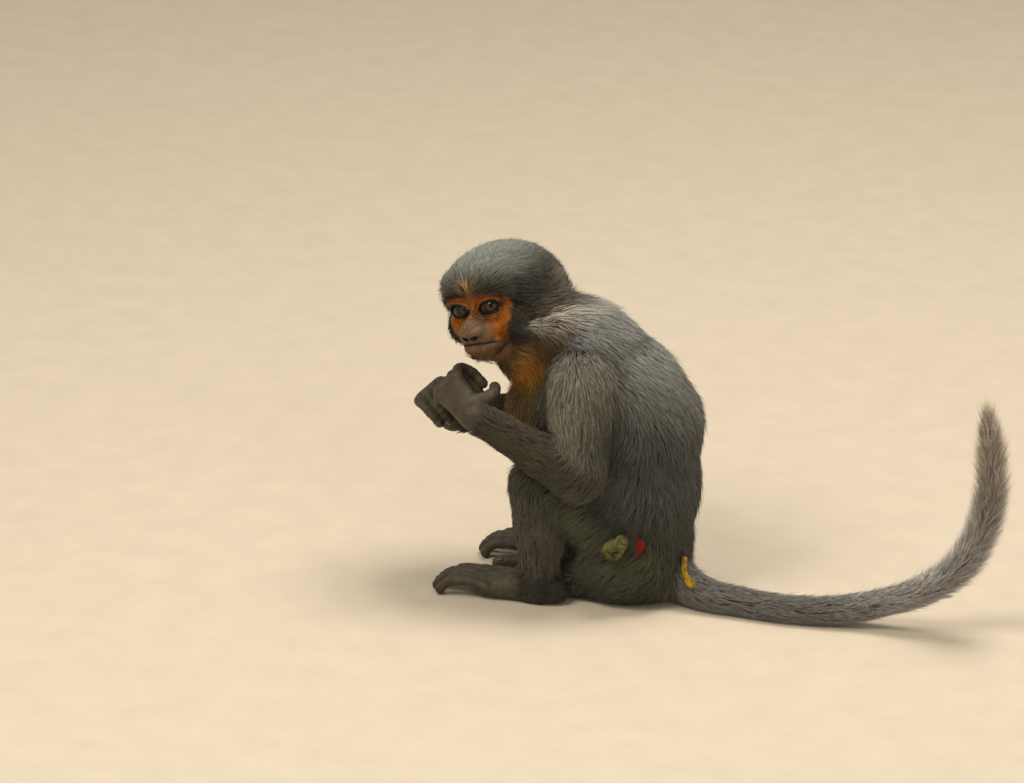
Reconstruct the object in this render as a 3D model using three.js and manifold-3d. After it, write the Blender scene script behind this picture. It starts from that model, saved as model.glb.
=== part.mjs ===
// A young sooty mangabey (Cercocebus atys) sitting on its haunches, life size, in millimetres.
// It faces -X and turns its head to its left, which is -Y. +Z is up, the floor is z = 0, and the
// origin is the middle of the seat. Both hands are raised and closed, one above the other.
// Each part has the outer shape of its coat.
import * as THREE from "three";
import { mergeVertices } from "three/addons/utils/BufferGeometryUtils.js";
import Module from "manifold-3d";

const wasm = await Module();
wasm.setup();

// ---------------------------------------------------------------- driving dimensions
const GAP = 0.4; // clearance between neighbouring parts
const FLOOR_REACH = 400; // half width of the block that flattens what rests on the floor
const LEFT = -1;
const RIGHT = 1;
const SIDES = [
  ["left", LEFT],
  ["right", RIGHT],
];

const vec = (x, y, z) => new THREE.Vector3(x, y, z);

// Joints. The right foot stands a little behind the left one, and the arms are posed one by one.
const hip = (side) => vec(-4, 25 * side, 42);
const knee = (side) => vec(-80, 42 * side, 99);
const ankle = (side) => (side === LEFT ? vec(-73, -46, 16) : vec(-67, 40, 16));
const shoulder = (side) => vec(-43, 31 * side, 177);
const ELBOW = { [LEFT]: vec(-37, -60, 108), [RIGHT]: vec(-84, 48, 124) };
// Each hand is closed round nothing: the fingers bend about an axis through the grip, which runs
// from the first finger to the last, and palm is the way from that axis to the palm.
const HAND = {
  [LEFT]: { grip: vec(-135, -47, 162), row: vec(-0.65, -0.01, -0.76), palm: vec(0.32, -0.89, 0.33) },
  [RIGHT]: { grip: vec(-165, -12, 136), row: vec(-0.63, -0.46, -0.62), palm: vec(-0.54, 0.84, -0.06) },
};
const WRIST_RADIUS = 25; // distances from that axis
const FINGER_RADIUS = 16.5;
function inGrip(side, degrees, radius, along) {
  const { grip, row, palm } = HAND[side];
  const axis = row.clone().normalize();
  const out = palm.clone().addScaledVector(axis, -palm.dot(axis)).normalize();
  const onward = axis.clone().cross(out).multiplyScalar(-side);
  const angle = THREE.MathUtils.degToRad(degrees);
  return grip
    .clone()
    .addScaledVector(out, radius * Math.cos(angle))
    .addScaledVector(onward, radius * Math.sin(angle))
    .addScaledVector(axis, along);
}

const WAIST_HEIGHT = 53;
const CORD_RADIUS = 2.7;
const EYE_RADIUS = 9;
const EYE = { forward: 33, outward: 12, up: -7 };
const EAR = { forward: -19, outward: 48, up: -11 };

// The head's own frame: forward out of the face, left out of the left ear, and up.
const HEAD_CENTRE = vec(-126.5, 0, 233.7);
const HEAD_UP = vec(-0.27, 0, 0.963).normalize();
const FACING = THREE.MathUtils.degToRad(-97); // seen from above, measured from +X
const HEAD_LEFT = HEAD_UP.clone()
  .cross(vec(Math.cos(FACING), Math.sin(FACING), 0))
  .normalize();
const HEAD_FORWARD = HEAD_LEFT.clone().cross(HEAD_UP).normalize();
const HEAD_TURN = new THREE.Quaternion().setFromRotationMatrix(
  new THREE.Matrix4().makeBasis(HEAD_FORWARD, HEAD_LEFT, HEAD_UP),
);
const inHead = (forward, left, up) =>
  vec(forward, left, up).applyQuaternion(HEAD_TURN).add(HEAD_CENTRE);

// ---------------------------------------------------------------- rounded forms
// A form is a function that gives a point's distance to its surface, negative inside.
const STRAIGHT = new THREE.Quaternion();

function ball(centre, radii, turn = STRAIGHT) {
  const back = turn.clone().invert();
  const scale = vec(1 / radii[0], 1 / radii[1], 1 / radii[2]);
  const q = new THREE.Vector3();
  return (p) => {
    q.copy(p).sub(centre).applyQuaternion(back).multiply(scale);
    const share = q.length();
    const slope = q.multiply(scale).length();
    return slope > 0 ? (share * (share - 1)) / slope : -Math.min(...radii);
  };
}

function bone(from, to, radiusFrom, radiusTo) {
  const along = to.clone().sub(from);
  const lengthSquared = along.lengthSq();
  const q = new THREE.Vector3();
  return (p) => {
    q.copy(p).sub(from);
    const t = THREE.MathUtils.clamp(q.dot(along) / lengthSquared, 0, 1);
    q.addScaledVector(along, -t);
    return q.length() - THREE.MathUtils.lerp(radiusFrom, radiusTo, t);
  };
}

function softMin(a, b, softness) {
  const near = Math.max(softness - Math.abs(a - b), 0) / softness;
  return Math.min(a, b) - (near * near * softness) / 4;
}

const blend =
  (softness, ...forms) =>
  (p) =>
    forms.map((form) => form(p)).reduce((a, b) => softMin(a, b, softness));

const carve =
  (softness, form, ...tools) =>
  (p) =>
    tools.reduce((d, tool) => -softMin(-d, tool(p), softness), form(p));

// ---------------------------------------------------------------- from form to solid
function solidFrom(points, triangles) {
  return new wasm.Manifold(
    new wasm.Mesh({
      numProp: 3,
      vertProperties: new Float32Array(points.flatMap((p) => p.toArray())),
      triVerts: new Uint32Array(triangles),
    }),
  );
}

function solidOfGeometry(geometry) {
  const bare = geometry.clone();
  bare.deleteAttribute("normal");
  bare.deleteAttribute("uv");
  const merged = mergeVertices(bare, 1e-4);
  return new wasm.Manifold(
    new wasm.Mesh({
      numProp: 3,
      vertProperties: new Float32Array(merged.attributes.position.array),
      triVerts: new Uint32Array(merged.index.array),
    }),
  );
}

// Joins rings of points, all with the same number of sides, between two end points.
function skinOver(first, rings, last) {
  const sides = rings[0].length;
  const points = [...rings.flat(), first, last];
  const triangles = [];
  const bottom = rings.length * sides;
  const top = bottom + 1;
  for (let j = 0; j < sides; j++) {
    const next = (j + 1) % sides;
    for (let i = 0; i + 1 < rings.length; i++) {
      const a = i * sides + j;
      const b = i * sides + next;
      triangles.push(a, b, b + sides, a, b + sides, a + sides);
    }
    const end = (rings.length - 1) * sides;
    triangles.push(bottom, next, j, top, end + j, end + next);
  }
  return solidFrom(points, triangles);
}

// Wraps a net round a form: rays go out from a line inside it, square to the line along its length
// and fanned round its two ends, and stop where they meet the surface. Grow moves the net outwards.
function wrap(form, { from, to, front, lengths, fan, sides, gather = 0 }, grow = 0) {
  const along = to.clone().sub(from).normalize();
  const ahead = front.clone().addScaledVector(along, -front.dot(along)).normalize();
  const aside = along.clone().cross(ahead);
  const hit = (start, direction) => {
    const p = start.clone();
    for (let pass = 0; pass < 60; pass++)
      p.addScaledVector(direction, 0.8 * (grow - form(p)));
    return p;
  };
  const stations = [];
  for (let i = 1; i <= fan; i++)
    stations.push([from, -Math.PI / 2 + (i * Math.PI) / 2 / (fan + 1)]);
  for (let i = 0; i <= lengths; i++)
    stations.push([from.clone().lerp(to, lengths ? i / lengths : 0), 0]);
  for (let i = 1; i <= fan; i++) stations.push([to, (i * Math.PI) / 2 / (fan + 1)]);
  const rings = stations.map(([start, tilt]) =>
    Array.from({ length: sides }, (_, j) => {
      const turn = (2 * Math.PI * j) / sides;
      const angle = turn - gather * Math.sin(turn);
      const direction = ahead
        .clone()
        .multiplyScalar(Math.cos(angle) * Math.cos(tilt))
        .addScaledVector(aside, Math.sin(angle) * Math.cos(tilt))
        .addScaledVector(along, Math.sin(tilt));
      return hit(start, direction);
    }),
  );
  return skinOver(hit(from, along.clone().negate()), rings, hit(to, along));
}

// A tapering length along a curve, between two shares of it, closed at both ends.
function lengthOf(curve, radiusAt, sides, lengths, start = 0, end = 1) {
  const side = vec(0, 0, 1);
  const rings = [];
  for (let i = 0; i <= lengths; i++) {
    const t = THREE.MathUtils.lerp(start, end, i / lengths);
    const centre = curve.getPointAt(t);
    const forward = curve.getTangentAt(t);
    side.addScaledVector(forward, -side.dot(forward)).normalize();
    const other = side.clone().cross(forward);
    rings.push(
      Array.from({ length: sides }, (_, j) => {
        const angle = (2 * Math.PI * j) / sides;
        return centre
          .clone()
          .addScaledVector(other, radiusAt(t) * Math.cos(angle))
          .addScaledVector(side, radiusAt(t) * Math.sin(angle));
      }),
    );
  }
  return skinOver(curve.getPointAt(start), rings, curve.getPointAt(end));
}

// ---------------------------------------------------------------- the list of parts
const COAT = { color: 0x47464b, roughness: 0.9, metalness: 0 };
const BARE_SKIN = { color: 0x3a3536, roughness: 0.7, metalness: 0 };
const EYE_LOOK = { color: 0x2a1a0e, roughness: 0.15, metalness: 0 };
const made = new Map(); // name to { solid, look, pivot }
const rooms = new Map(); // name to the space that its neighbours leave for it

const floorBlock = solidOfGeometry(
  new THREE.BoxGeometry(2 * FLOOR_REACH, 2 * FLOOR_REACH, 100).translate(0, 0, -50),
);

// Keeps a part. CutBy names the neighbours that it makes way for.
function keep(name, solid, { room = solid, look = COAT, pivot, cutBy = [] }) {
  let cut = cutBy.reduce((rest, other) => rest.subtract(rooms.get(other)), solid);
  cut = cut.subtract(floorBlock);
  const largest = cut
    .decompose()
    .reduce((a, b) => (a.volume() > b.volume() ? a : b));
  made.set(name, { solid: largest, look, pivot });
  rooms.set(name, room);
}

function wrapped(name, form, net, facts) {
  keep(name, wrap(form, net), { room: wrap(form, net, GAP), ...facts });
}

// ---------------------------------------------------------------- eyes and ears
const eyeAt = (side) => inHead(EYE.forward, -EYE.outward * side, EYE.up);

for (const [name, side] of SIDES) {
  const eye = (radius) =>
    solidOfGeometry(
      new THREE.SphereGeometry(radius, 9, 6).translate(...eyeAt(side).toArray()),
    );
  keep("eye_" + name, eye(EYE_RADIUS), {
    room: eye(EYE_RADIUS + GAP),
    look: EYE_LOOK,
    pivot: eyeAt(side),
  });
}

// ---------------------------------------------------------------- head
const headBall = (centre, radii) => ball(inHead(...centre), radii, HEAD_TURN);
const headBone = (from, to, a, b) => bone(inHead(...from), inHead(...to), a, b);
const bothSides = (make) => [make(LEFT), make(RIGHT)];

const cranium = headBall([-7, 0, 0], [50, 44, 33]);
const nape = headBall([-34, 0, -5], [26, 41, 27]);
const brow = headBall([36, 0, 8], [14, 31, 8]);
const temples = bothSides((side) => headBall([-15, -34 * side, -7], [27, 17, 21]));
const cheeks = bothSides((side) => headBall([24, -18 * side, -20], [15, 13, 16]));
const whiskers = bothSides((side) => headBall([4, -32 * side, -27], [20, 12, 12]));
const muzzle = headBall([38, 0, -24], [19, 16, 14]);
const nose = headBone([37, 0, -8], [54, 0, -18], 5, 6.5);
const chin = headBall([36, 0, -38], [16, 13, 9]);
const sockets = bothSides((side) => headBall([44, -12 * side, -7], [9, 9, 8]));

const headForm = carve(
  4,
  blend(7, cranium, nape, brow, ...temples, ...cheeks, ...whiskers, muzzle, nose, chin),
  ...sockets,
);

const headNet = {
  from: inHead(4, 0, -12),
  to: inHead(4, 0, -4),
  front: HEAD_FORWARD,
  lengths: 2,
  fan: 6,
  sides: 26,
  gather: 0.5,
};
wrapped("head", headForm, headNet, { pivot: HEAD_CENTRE, cutBy: ["eye_left", "eye_right"] });

for (const [name, side] of SIDES) {
  const root = inHead(EAR.forward, -EAR.outward * side, EAR.up);
  const earForm = ball(root, [9, 4.5, 13], HEAD_TURN);
  wrapped(
    "ear_" + name,
    earForm,
    { from: root, to: root.clone().add(HEAD_UP), front: HEAD_FORWARD, lengths: 0, fan: 2, sides: 8 },
    { pivot: root, look: BARE_SKIN, cutBy: ["head"] },
  );
}

// ---------------------------------------------------------------- trunk and neck
const pelvis = ball(vec(-11, 0, 34), [38, 46, 42]);
const loins = ball(vec(-8, 0, 90), [48, 47, 58]);
const ribs = ball(vec(-38, 0, 142), [81, 49, 50]);
const withers = ball(vec(-34, 0, 172), [54, 43, 40]);
const trunkForm = blend(20, pelvis, loins, ribs, withers);
const trunkNet = {
  from: vec(-12, 0, 36),
  to: vec(-38, 0, 174),
  front: vec(-1, 0, 0),
  lengths: 8,
  fan: 3,
  sides: 16,
};

// A cord is tied round the waist, out of sight in the coat. What shows of it is a knot of green
// cloth at the left side, a red scrap behind the knot and a yellow end over the root of the tail.
const blob = (centre, radii) => (radius) =>
  solidOfGeometry(
    new THREE.SphereGeometry(1, 7, 5)
      .scale(...radii.map((r) => r + radius))
      .translate(...centre.toArray()),
  );
const YELLOW_END = new THREE.CatmullRomCurve3([
  vec(29, -8, 37),
  vec(33, -15, 34),
  vec(38, -23, 30),
  vec(43, -29, 23),
]);
const hangings = [
  ["cloth_knot", 0x39423a, vec(-7, -55, 50), blob(vec(-7, -55, 50), [9.5, 9, 10.5])],
  ["red_scrap", 0x8e2a1c, vec(8, -47, 56), blob(vec(8, -47, 56), [4.5, 4, 8])],
  ["yellow_end", 0xc79a1c, vec(29, -8, 37), (grow) => lengthOf(YELLOW_END, () => CORD_RADIUS + grow, 6, 3)],
];
for (const [name, color, pivot, make] of hangings)
  keep(name, make(0), {
    room: make(GAP),
    look: { color, roughness: 0.9, metalness: 0 },
    pivot,
  });
const HANGINGS = hangings.map(([name]) => name);

const trunk = wrap(trunkForm, trunkNet);
rooms.set("trunk", wrap(trunkForm, trunkNet, GAP));
const layer = (low, high) =>
  solidOfGeometry(
    new THREE.BoxGeometry(300, 200, high - low).translate(0, 0, (low + high) / 2),
  );
for (const [name, low, high] of [
  ["hips", -20, WAIST_HEIGHT],
  ["belly", WAIST_HEIGHT + GAP, 118],
  ["chest", 118 + GAP, 300],
])
  keep(name, trunk.intersect(layer(low, high)), {
    pivot: vec(0, 0, Math.max(low, 0)),
    cutBy: HANGINGS,
  });

const scruff = bone(vec(-48, 0, 192), vec(-98, 4, 213), 37, 33);
const throat = bone(vec(-80, -4, 170), vec(-104, -14, 190), 22, 20);
// The hair of the nape fills in under the back of the turned head, down to the right shoulder.
const napeHair = bone(vec(-60, 6, 190), vec(-102, 30, 206), 30, 25);
wrapped(
  "neck",
  blend(10, scruff, throat, napeHair),
  {
    from: vec(-55, 0, 188),
    to: vec(-98, 0, 206),
    front: vec(0, 0, 1),
    lengths: 2,
    fan: 2,
    sides: 12,
  },
  { pivot: vec(-60, 0, 190), cutBy: ["trunk", "head", "ear_left", "ear_right"] },
);

// ---------------------------------------------------------------- legs
for (const [name, side] of SIDES) {
  const at = { hip: hip(side), knee: knee(side), ankle: ankle(side) };
  const foot = (forward, outward, up) =>
    vec(at.ankle.x - forward, at.ankle.y + outward * side, up);

  const haunch = ball(at.hip.clone().add(vec(-8, 6 * side, -10)), [38, 24, 33]);
  const underside = bone(vec(-53, 28 * side, 17), vec(15, 20 * side, 15), 17, 15);
  wrapped(
    "thigh_" + name,
    blend(10, bone(at.hip, at.knee, 28, 20), haunch, underside),
    {
      from: at.hip.clone().add(vec(0, 6 * side, -6)),
      to: at.knee,
      front: vec(0, 0, 1),
      lengths: 5,
      fan: 2,
      sides: 12,
    },
    { pivot: at.hip, cutBy: ["trunk", ...HANGINGS] },
  );

  const top = at.knee.clone().lerp(at.ankle, 0.1);
  const calf = ball(at.knee.clone().lerp(at.ankle, 0.42).add(vec(5, 0, 0)), [19, 17, 32]);
  wrapped(
    "shank_" + name,
    blend(10, bone(top, at.ankle, 20, 14.5), calf),
    { from: top, to: at.ankle, front: vec(-1, 0, 0), lengths: 5, fan: 2, sides: 10 },
    { pivot: at.knee, cutBy: ["thigh_" + name, "trunk"] },
  );

  const soleForm = blend(
    7,
    bone(foot(-12, 0, 10), foot(-2, 0, 12), 11, 12),
    bone(at.ankle, foot(42, 1, 10), 12, 8),
    bone(foot(0, 0, 8), foot(42, 9, 8), 9, 6.5),
    bone(foot(0, 0, 8), foot(40, -8, 8), 9, 6.5),
  );
  const sole = (grow) =>
    wrap(
      soleForm,
      { from: foot(-8, 0, 10), to: foot(40, 1, 9), front: vec(0, 0, 1), lengths: 4, fan: 2, sides: 10 },
      grow,
    );
  const toe = (row) => {
    const out = -11.5 + 7.8 * row;
    const reach = [78, 83, 83, 77][row];
    return new THREE.CatmullRomCurve3([
      foot(36, out, 9),
      foot(reach - 30, out * 1.1, 13),
      foot(reach - 11, out * 1.15, 13.5),
      foot(reach - 2, out * 1.15, 8),
      foot(reach, out * 1.15, 3.5),
    ]);
  };
  const toeRadius = (grow) => (t) => THREE.MathUtils.lerp(3.9, 3.7, t) + grow;
  const toes = [0, 1, 2, 3].map(toe);
  const whole = (grow) =>
    toes.reduce(
      (sum, path) => sum.add(lengthOf(path, toeRadius(grow), 6, 5)),
      sole(grow),
    );
  keep("foot_" + name, whole(0), {
    room: whole(GAP),
    look: BARE_SKIN,
    pivot: at.ankle,
    cutBy: ["shank_" + name, "thigh_" + name],
  });

  const bigToe = new THREE.CatmullRomCurve3([
    foot(12, -10, 10),
    foot(28, -21, 9),
    foot(46, -29, 7),
    foot(60, -33, 5),
  ]);
  keep(
    "big_toe_" + name,
    lengthOf(bigToe, (t) => (t > 0.97 ? 3.6 : THREE.MathUtils.lerp(6.2, 5, t)), 7, 5),
    { look: BARE_SKIN, pivot: bigToe.getPoint(0), cutBy: ["foot_" + name, "shank_" + name] },
  );
}

// ---------------------------------------------------------------- arms and hands
for (const [name, side] of SIDES) {
  const wrist = inGrip(side, -45, WRIST_RADIUS, -1);
  const upper = ELBOW[side].clone().lerp(wrist, 0.06);
  const armNet = { front: vec(-1, 0, 0), fan: 2, sides: 10 };

  wrapped(
    "upper_arm_" + name,
    blend(
      10,
      bone(shoulder(side), ELBOW[side], 28, 20),
      ball(shoulder(side).lerp(ELBOW[side], 0.35), [27, 22, 30]),
    ),
    { ...armNet, from: shoulder(side), to: ELBOW[side], lengths: 5 },
    {
      pivot: shoulder(side),
      cutBy: ["trunk", "neck", "head", "ear_" + name, "thigh_" + name, "shank_" + name],
    },
  );
  wrapped(
    "forearm_" + name,
    blend(6, bone(upper, wrist, 18, 12.5), ball(ELBOW[side].clone().lerp(wrist, 0.32), [19, 18, 17])),
    { ...armNet, front: vec(0, 0, 1), from: upper, to: wrist, lengths: 5 },
    {
      pivot: ELBOW[side],
      cutBy: ["upper_arm_" + name, "thigh_" + name, "shank_" + name, "trunk"],
    },
  );

  const palmForm = blend(
    6,
    ...[-10.5, -3.5, 3.5, 10].map((along) =>
      bone(wrist, inGrip(side, 45, FINGER_RADIUS, along), 10, 5.4),
    ),
  );
  const middle = inGrip(side, 42, FINGER_RADIUS, 0);
  const palm = (grow) =>
    wrap(
      palmForm,
      { from: wrist, to: middle, front: inGrip(side, 0, 40, 0).sub(wrist), lengths: 2, fan: 2, sides: 9 },
      grow,
    );
  const finger = (place) => {
    const along = 7.8 * (place - 1.5);
    const end = [208, 222, 218, 198][place];
    return new THREE.CatmullRomCurve3(
      [0, 0.25, 0.5, 0.75, 1].map((t) =>
        inGrip(side, THREE.MathUtils.lerp(40, end, t), FINGER_RADIUS - 3 * t, along * (1 - 0.1 * t)),
      ),
    );
  };
  const fingerRadius = (t) => (t > 0.97 ? 2.6 : THREE.MathUtils.lerp(3.85, 3.4, t));
  const hand = [0, 1, 2, 3].reduce(
    (sum, place) => sum.add(lengthOf(finger(place), fingerRadius, 6, 5)),
    palm(0),
  );
  keep("hand_" + name, hand, {
    room: palm(GAP),
    look: BARE_SKIN,
    pivot: wrist,
    cutBy: ["forearm_" + name],
  });

  const thumb = new THREE.CatmullRomCurve3([
    inGrip(side, -30, 22, -10),
    inGrip(side, -52, 20, -17),
    inGrip(side, -80, 17, -20),
    inGrip(side, -108, 15, -19),
  ]);
  keep(
    "thumb_" + name,
    lengthOf(thumb, (t) => (t > 0.96 ? 2.8 : THREE.MathUtils.lerp(5.4, 4.2, t)), 6, 5),
    { look: BARE_SKIN, pivot: thumb.getPoint(0), cutBy: ["hand_" + name, "forearm_" + name] },
  );
}

// ---------------------------------------------------------------- tail
const TAIL = new THREE.CatmullRomCurve3([
  vec(14, -4, 22),
  vec(48, -18, 11.5),
  vec(80, -20, 9),
  vec(113, -22, 9),
  vec(145, -19, 10.5),
  vec(175, -13, 16),
  vec(205, -11, 27),
  vec(235, -8, 44),
  vec(256, -5, 71),
  vec(267, -3, 105),
  vec(268, -1, 140),
  vec(263, 0, 180),
]);
function tailRadius(t) {
  const slim = THREE.MathUtils.lerp(14.5, 9.4, Math.min(1, t / 0.22));
  const bushy = 3 * THREE.MathUtils.smoothstep(t, 0.25, 0.6);
  const tip = t > 0.88 ? Math.sqrt(Math.max(0.03, 1 - ((t - 0.88) / 0.12) ** 2)) : 1;
  return (slim + bushy) * tip;
}
["base", "fore", "mid", "end"].forEach((name, i) => {
  const start = i ? i / 4 + GAP / TAIL.getLength() : 0;
  keep("tail_" + name, lengthOf(TAIL, tailRadius, 8, 6, start, (i + 1) / 4), {
    pivot: TAIL.getPointAt(start),
    cutBy: i ? [] : ["trunk", "thigh_left", "thigh_right", "yellow_end"],
  });
});

// ---------------------------------------------------------------- the scene graph
const mangabey = new THREE.Group();
for (const [name, { solid, look, pivot }] of made) {
  const mesh = solid.getMesh();
  const position = new Float32Array(mesh.numVert * 3);
  for (let i = 0; i < mesh.numVert; i++)
    for (let axis = 0; axis < 3; axis++)
      position[3 * i + axis] =
        mesh.vertProperties[i * mesh.numProp + axis] - pivot.getComponent(axis);
  const geometry = new THREE.BufferGeometry();
  geometry.setAttribute("position", new THREE.BufferAttribute(position, 3));
  geometry.setIndex(new THREE.BufferAttribute(new Uint32Array(mesh.triVerts), 1));
  geometry.computeVertexNormals();
  const piece = new THREE.Mesh(geometry, new THREE.MeshStandardMaterial(look));
  piece.name = name;
  piece.position.copy(pivot);
  mangabey.add(piece);
}

export default mangabey;
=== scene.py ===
"""A young sooty mangabey sitting on its haunches, life size: skin, coat, eyes and nails round its solids."""

import math

import bmesh
import bpy
import numpy as np
import openvdb
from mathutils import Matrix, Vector


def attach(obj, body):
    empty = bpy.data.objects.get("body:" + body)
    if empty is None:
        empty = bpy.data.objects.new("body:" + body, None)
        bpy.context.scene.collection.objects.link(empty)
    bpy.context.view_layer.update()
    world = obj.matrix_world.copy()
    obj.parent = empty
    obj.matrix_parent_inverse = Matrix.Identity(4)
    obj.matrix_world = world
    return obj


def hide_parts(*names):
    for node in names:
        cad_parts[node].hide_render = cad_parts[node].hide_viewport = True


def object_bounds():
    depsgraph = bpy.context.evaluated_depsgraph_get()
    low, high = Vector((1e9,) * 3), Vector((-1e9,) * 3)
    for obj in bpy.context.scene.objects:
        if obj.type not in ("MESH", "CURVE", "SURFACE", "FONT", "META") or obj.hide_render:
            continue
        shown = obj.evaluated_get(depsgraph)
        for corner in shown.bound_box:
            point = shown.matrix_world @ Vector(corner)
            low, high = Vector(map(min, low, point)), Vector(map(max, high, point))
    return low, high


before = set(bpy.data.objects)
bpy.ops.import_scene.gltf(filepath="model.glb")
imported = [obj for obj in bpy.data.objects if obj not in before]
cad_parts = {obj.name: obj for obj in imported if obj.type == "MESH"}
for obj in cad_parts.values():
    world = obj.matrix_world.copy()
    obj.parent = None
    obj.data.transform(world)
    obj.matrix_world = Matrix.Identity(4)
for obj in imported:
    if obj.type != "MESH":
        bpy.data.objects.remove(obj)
cad_box = [list(corner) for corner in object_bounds()]

# All shapes are worked out in millimetres and put into the scene in metres.
MM = 0.001
LEFT, RIGHT = -1, 1
SIDES = (("left", LEFT), ("right", RIGHT))


# ------------------------------------------------------------------ small maths
def vec(*xyz):
    return np.array(xyz, float)


def unit(v):
    v = np.asarray(v, float)
    return v / np.maximum(np.linalg.norm(v, axis=-1, keepdims=True), 1e-9)


def dot(a, b):
    return (a * b).sum(-1, keepdims=True)


def lerp(a, b, t):
    return a + (b - a) * t


def smooth(low, high, x):
    t = np.clip((x - low) / (high - low), 0, 1)
    return t * t * (3 - 2 * t)


def soft_min(a, b, k):
    near = np.maximum(k - np.abs(a - b), 0) / k
    return np.minimum(a, b) - near * near * k / 4


def soft_max(a, b, k):
    return -soft_min(-a, -b, k)


CURVE_STEPS = 24


def catmull(points, count):
    """Evenly spread points on the centripetal Catmull-Rom curve through some points."""
    p = np.array(points, float)
    p = np.vstack((2 * p[0] - p[1], p, 2 * p[-1] - p[-2]))
    fine = []
    for i in range(len(p) - 3):
        a, b, c, d = p[i : i + 4]
        t1 = np.linalg.norm(b - a) ** 0.5
        t2 = t1 + np.linalg.norm(c - b) ** 0.5
        t3 = t2 + np.linalg.norm(d - c) ** 0.5
        t = np.linspace(t1, t2, CURVE_STEPS, endpoint=False)[:, None]
        ab = lerp(a, b, t / t1)
        bc = lerp(b, c, (t - t1) / (t2 - t1))
        cd = lerp(c, d, (t - t2) / (t3 - t2))
        abc = lerp(ab, bc, t / t2)
        bcd = lerp(bc, cd, (t - t1) / (t3 - t1))
        fine.append(lerp(abc, bcd, (t - t1) / (t2 - t1)))
    fine = np.vstack((*fine, p[-2:-1]))
    walked = np.concatenate(([0], np.cumsum(np.linalg.norm(np.diff(fine, axis=0), axis=1))))
    at = np.linspace(0, walked[-1], count)
    return np.stack([np.interp(at, walked, fine[:, i]) for i in range(3)], 1)


def waves(p, wavelength, seed):
    """A smooth random value from about -1 to 1 at each point."""
    rng = np.random.default_rng(seed)
    total = np.zeros(len(p))
    for _ in range(6):
        way = unit(rng.normal(size=3)) * 2 * math.pi / (wavelength * rng.uniform(0.7, 1.5))
        total += np.sin(p @ way + rng.uniform(0, 6.3))
    return total / 2.5


# ------------------------------------------------------------------ posture, as in the solids
HIP = {s: vec(-4, 25 * s, 42) for s in (LEFT, RIGHT)}
KNEE = {s: vec(-80, 42 * s, 99) for s in (LEFT, RIGHT)}
ANKLE = {LEFT: vec(-73, -46, 16), RIGHT: vec(-67, 40, 16)}
SHOULDER = {s: vec(-43, 31 * s, 177) for s in (LEFT, RIGHT)}
ELBOW = {LEFT: vec(-37, -60, 108), RIGHT: vec(-84, 48, 124)}
GRIP = {LEFT: vec(-135, -47, 162), RIGHT: vec(-165, -12, 136)}
ROW = {LEFT: vec(-0.65, -0.01, -0.76), RIGHT: vec(-0.63, -0.46, -0.62)}
PALM = {LEFT: vec(0.32, -0.89, 0.33), RIGHT: vec(-0.54, 0.84, -0.06)}
WRIST_RADIUS, FINGER_RADIUS = 25, 16.5
EYE_RADIUS = 9.0

HEAD_CENTRE = vec(-126.5, 0, 233.7)
HEAD_UP = unit(vec(-0.27, 0, 0.963))
FACING = math.radians(-97)
HEAD_LEFT = unit(np.cross(HEAD_UP, vec(math.cos(FACING), math.sin(FACING), 0)))
HEAD_FORWARD = unit(np.cross(HEAD_LEFT, HEAD_UP))
HEAD = np.stack((HEAD_FORWARD, HEAD_LEFT, HEAD_UP))

TAIL_POINTS = (
    (14, -4, 22), (48, -18, 11.5), (80, -20, 9), (113, -22, 9), (145, -19, 10.5), (175, -13, 16),
    (205, -11, 27), (235, -8, 44), (256, -5, 71), (267, -3, 105), (268, -1, 140), (263, 0, 180),
)
TAIL = catmull(TAIL_POINTS, 49)


def in_head(forward, left, up):
    return HEAD_CENTRE + vec(forward, left, up) @ HEAD


def to_head(p):
    return (p - HEAD_CENTRE) @ HEAD.T


def in_grip(side, degrees, radius, along):
    axis = unit(ROW[side])
    out = unit(PALM[side] - axis * (PALM[side] @ axis))
    onward = -side * np.cross(axis, out)
    angle = math.radians(degrees)
    return GRIP[side] + radius * (out * math.cos(angle) + onward * math.sin(angle)) + axis * along


def foot_at(side, forward, outward, up):
    return vec(ANKLE[side][0] - forward, ANKLE[side][1] + outward * side, up)


# ------------------------------------------------------------------ rounded forms
# A form is a tuple: its kind, its measures, and last how deep the skin lies under the coat there.
def ball_distance(p, centre, radii, turned):
    q = p - centre
    if turned:
        q = q @ HEAD.T
    q = q / radii
    share = np.linalg.norm(q, axis=1)
    slope = np.linalg.norm(q / radii, axis=1)
    return share * (share - 1) / np.maximum(slope, 1e-6)


def bone_distance(p, a, b, ra, rb):
    along = b - a
    t = np.clip((p - a) @ along / (along @ along), 0, 1)
    return np.linalg.norm(p - a - t[:, None] * along, axis=1) - lerp(ra, rb, t)


def ball(centre, radii, depth=0.0):
    return ("ball", vec(*centre), vec(*radii), False, depth)


def head_ball(centre, radii, depth=0.0):
    return ("ball", in_head(*centre), vec(*radii), True, depth)


def bone(a, b, ra, rb, depth=0.0):
    return ("bone", np.asarray(a, float), np.asarray(b, float), ra, rb, depth)


def form_distance(form, p):
    kind, *measures, depth = form
    return (ball_distance if kind == "ball" else bone_distance)(p, *measures) + depth


def form_box(form):
    kind, a, b, *rest = form
    if kind == "ball":
        reach = b.max()
        return a - reach, a + reach
    reach = max(rest[0], rest[1])
    return np.minimum(a, b) - reach, np.maximum(a, b) + reach


# How far round its forms a part counts, and the distance where there is nothing.
PART_MARGIN, FAR = 26, 40.0


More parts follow.
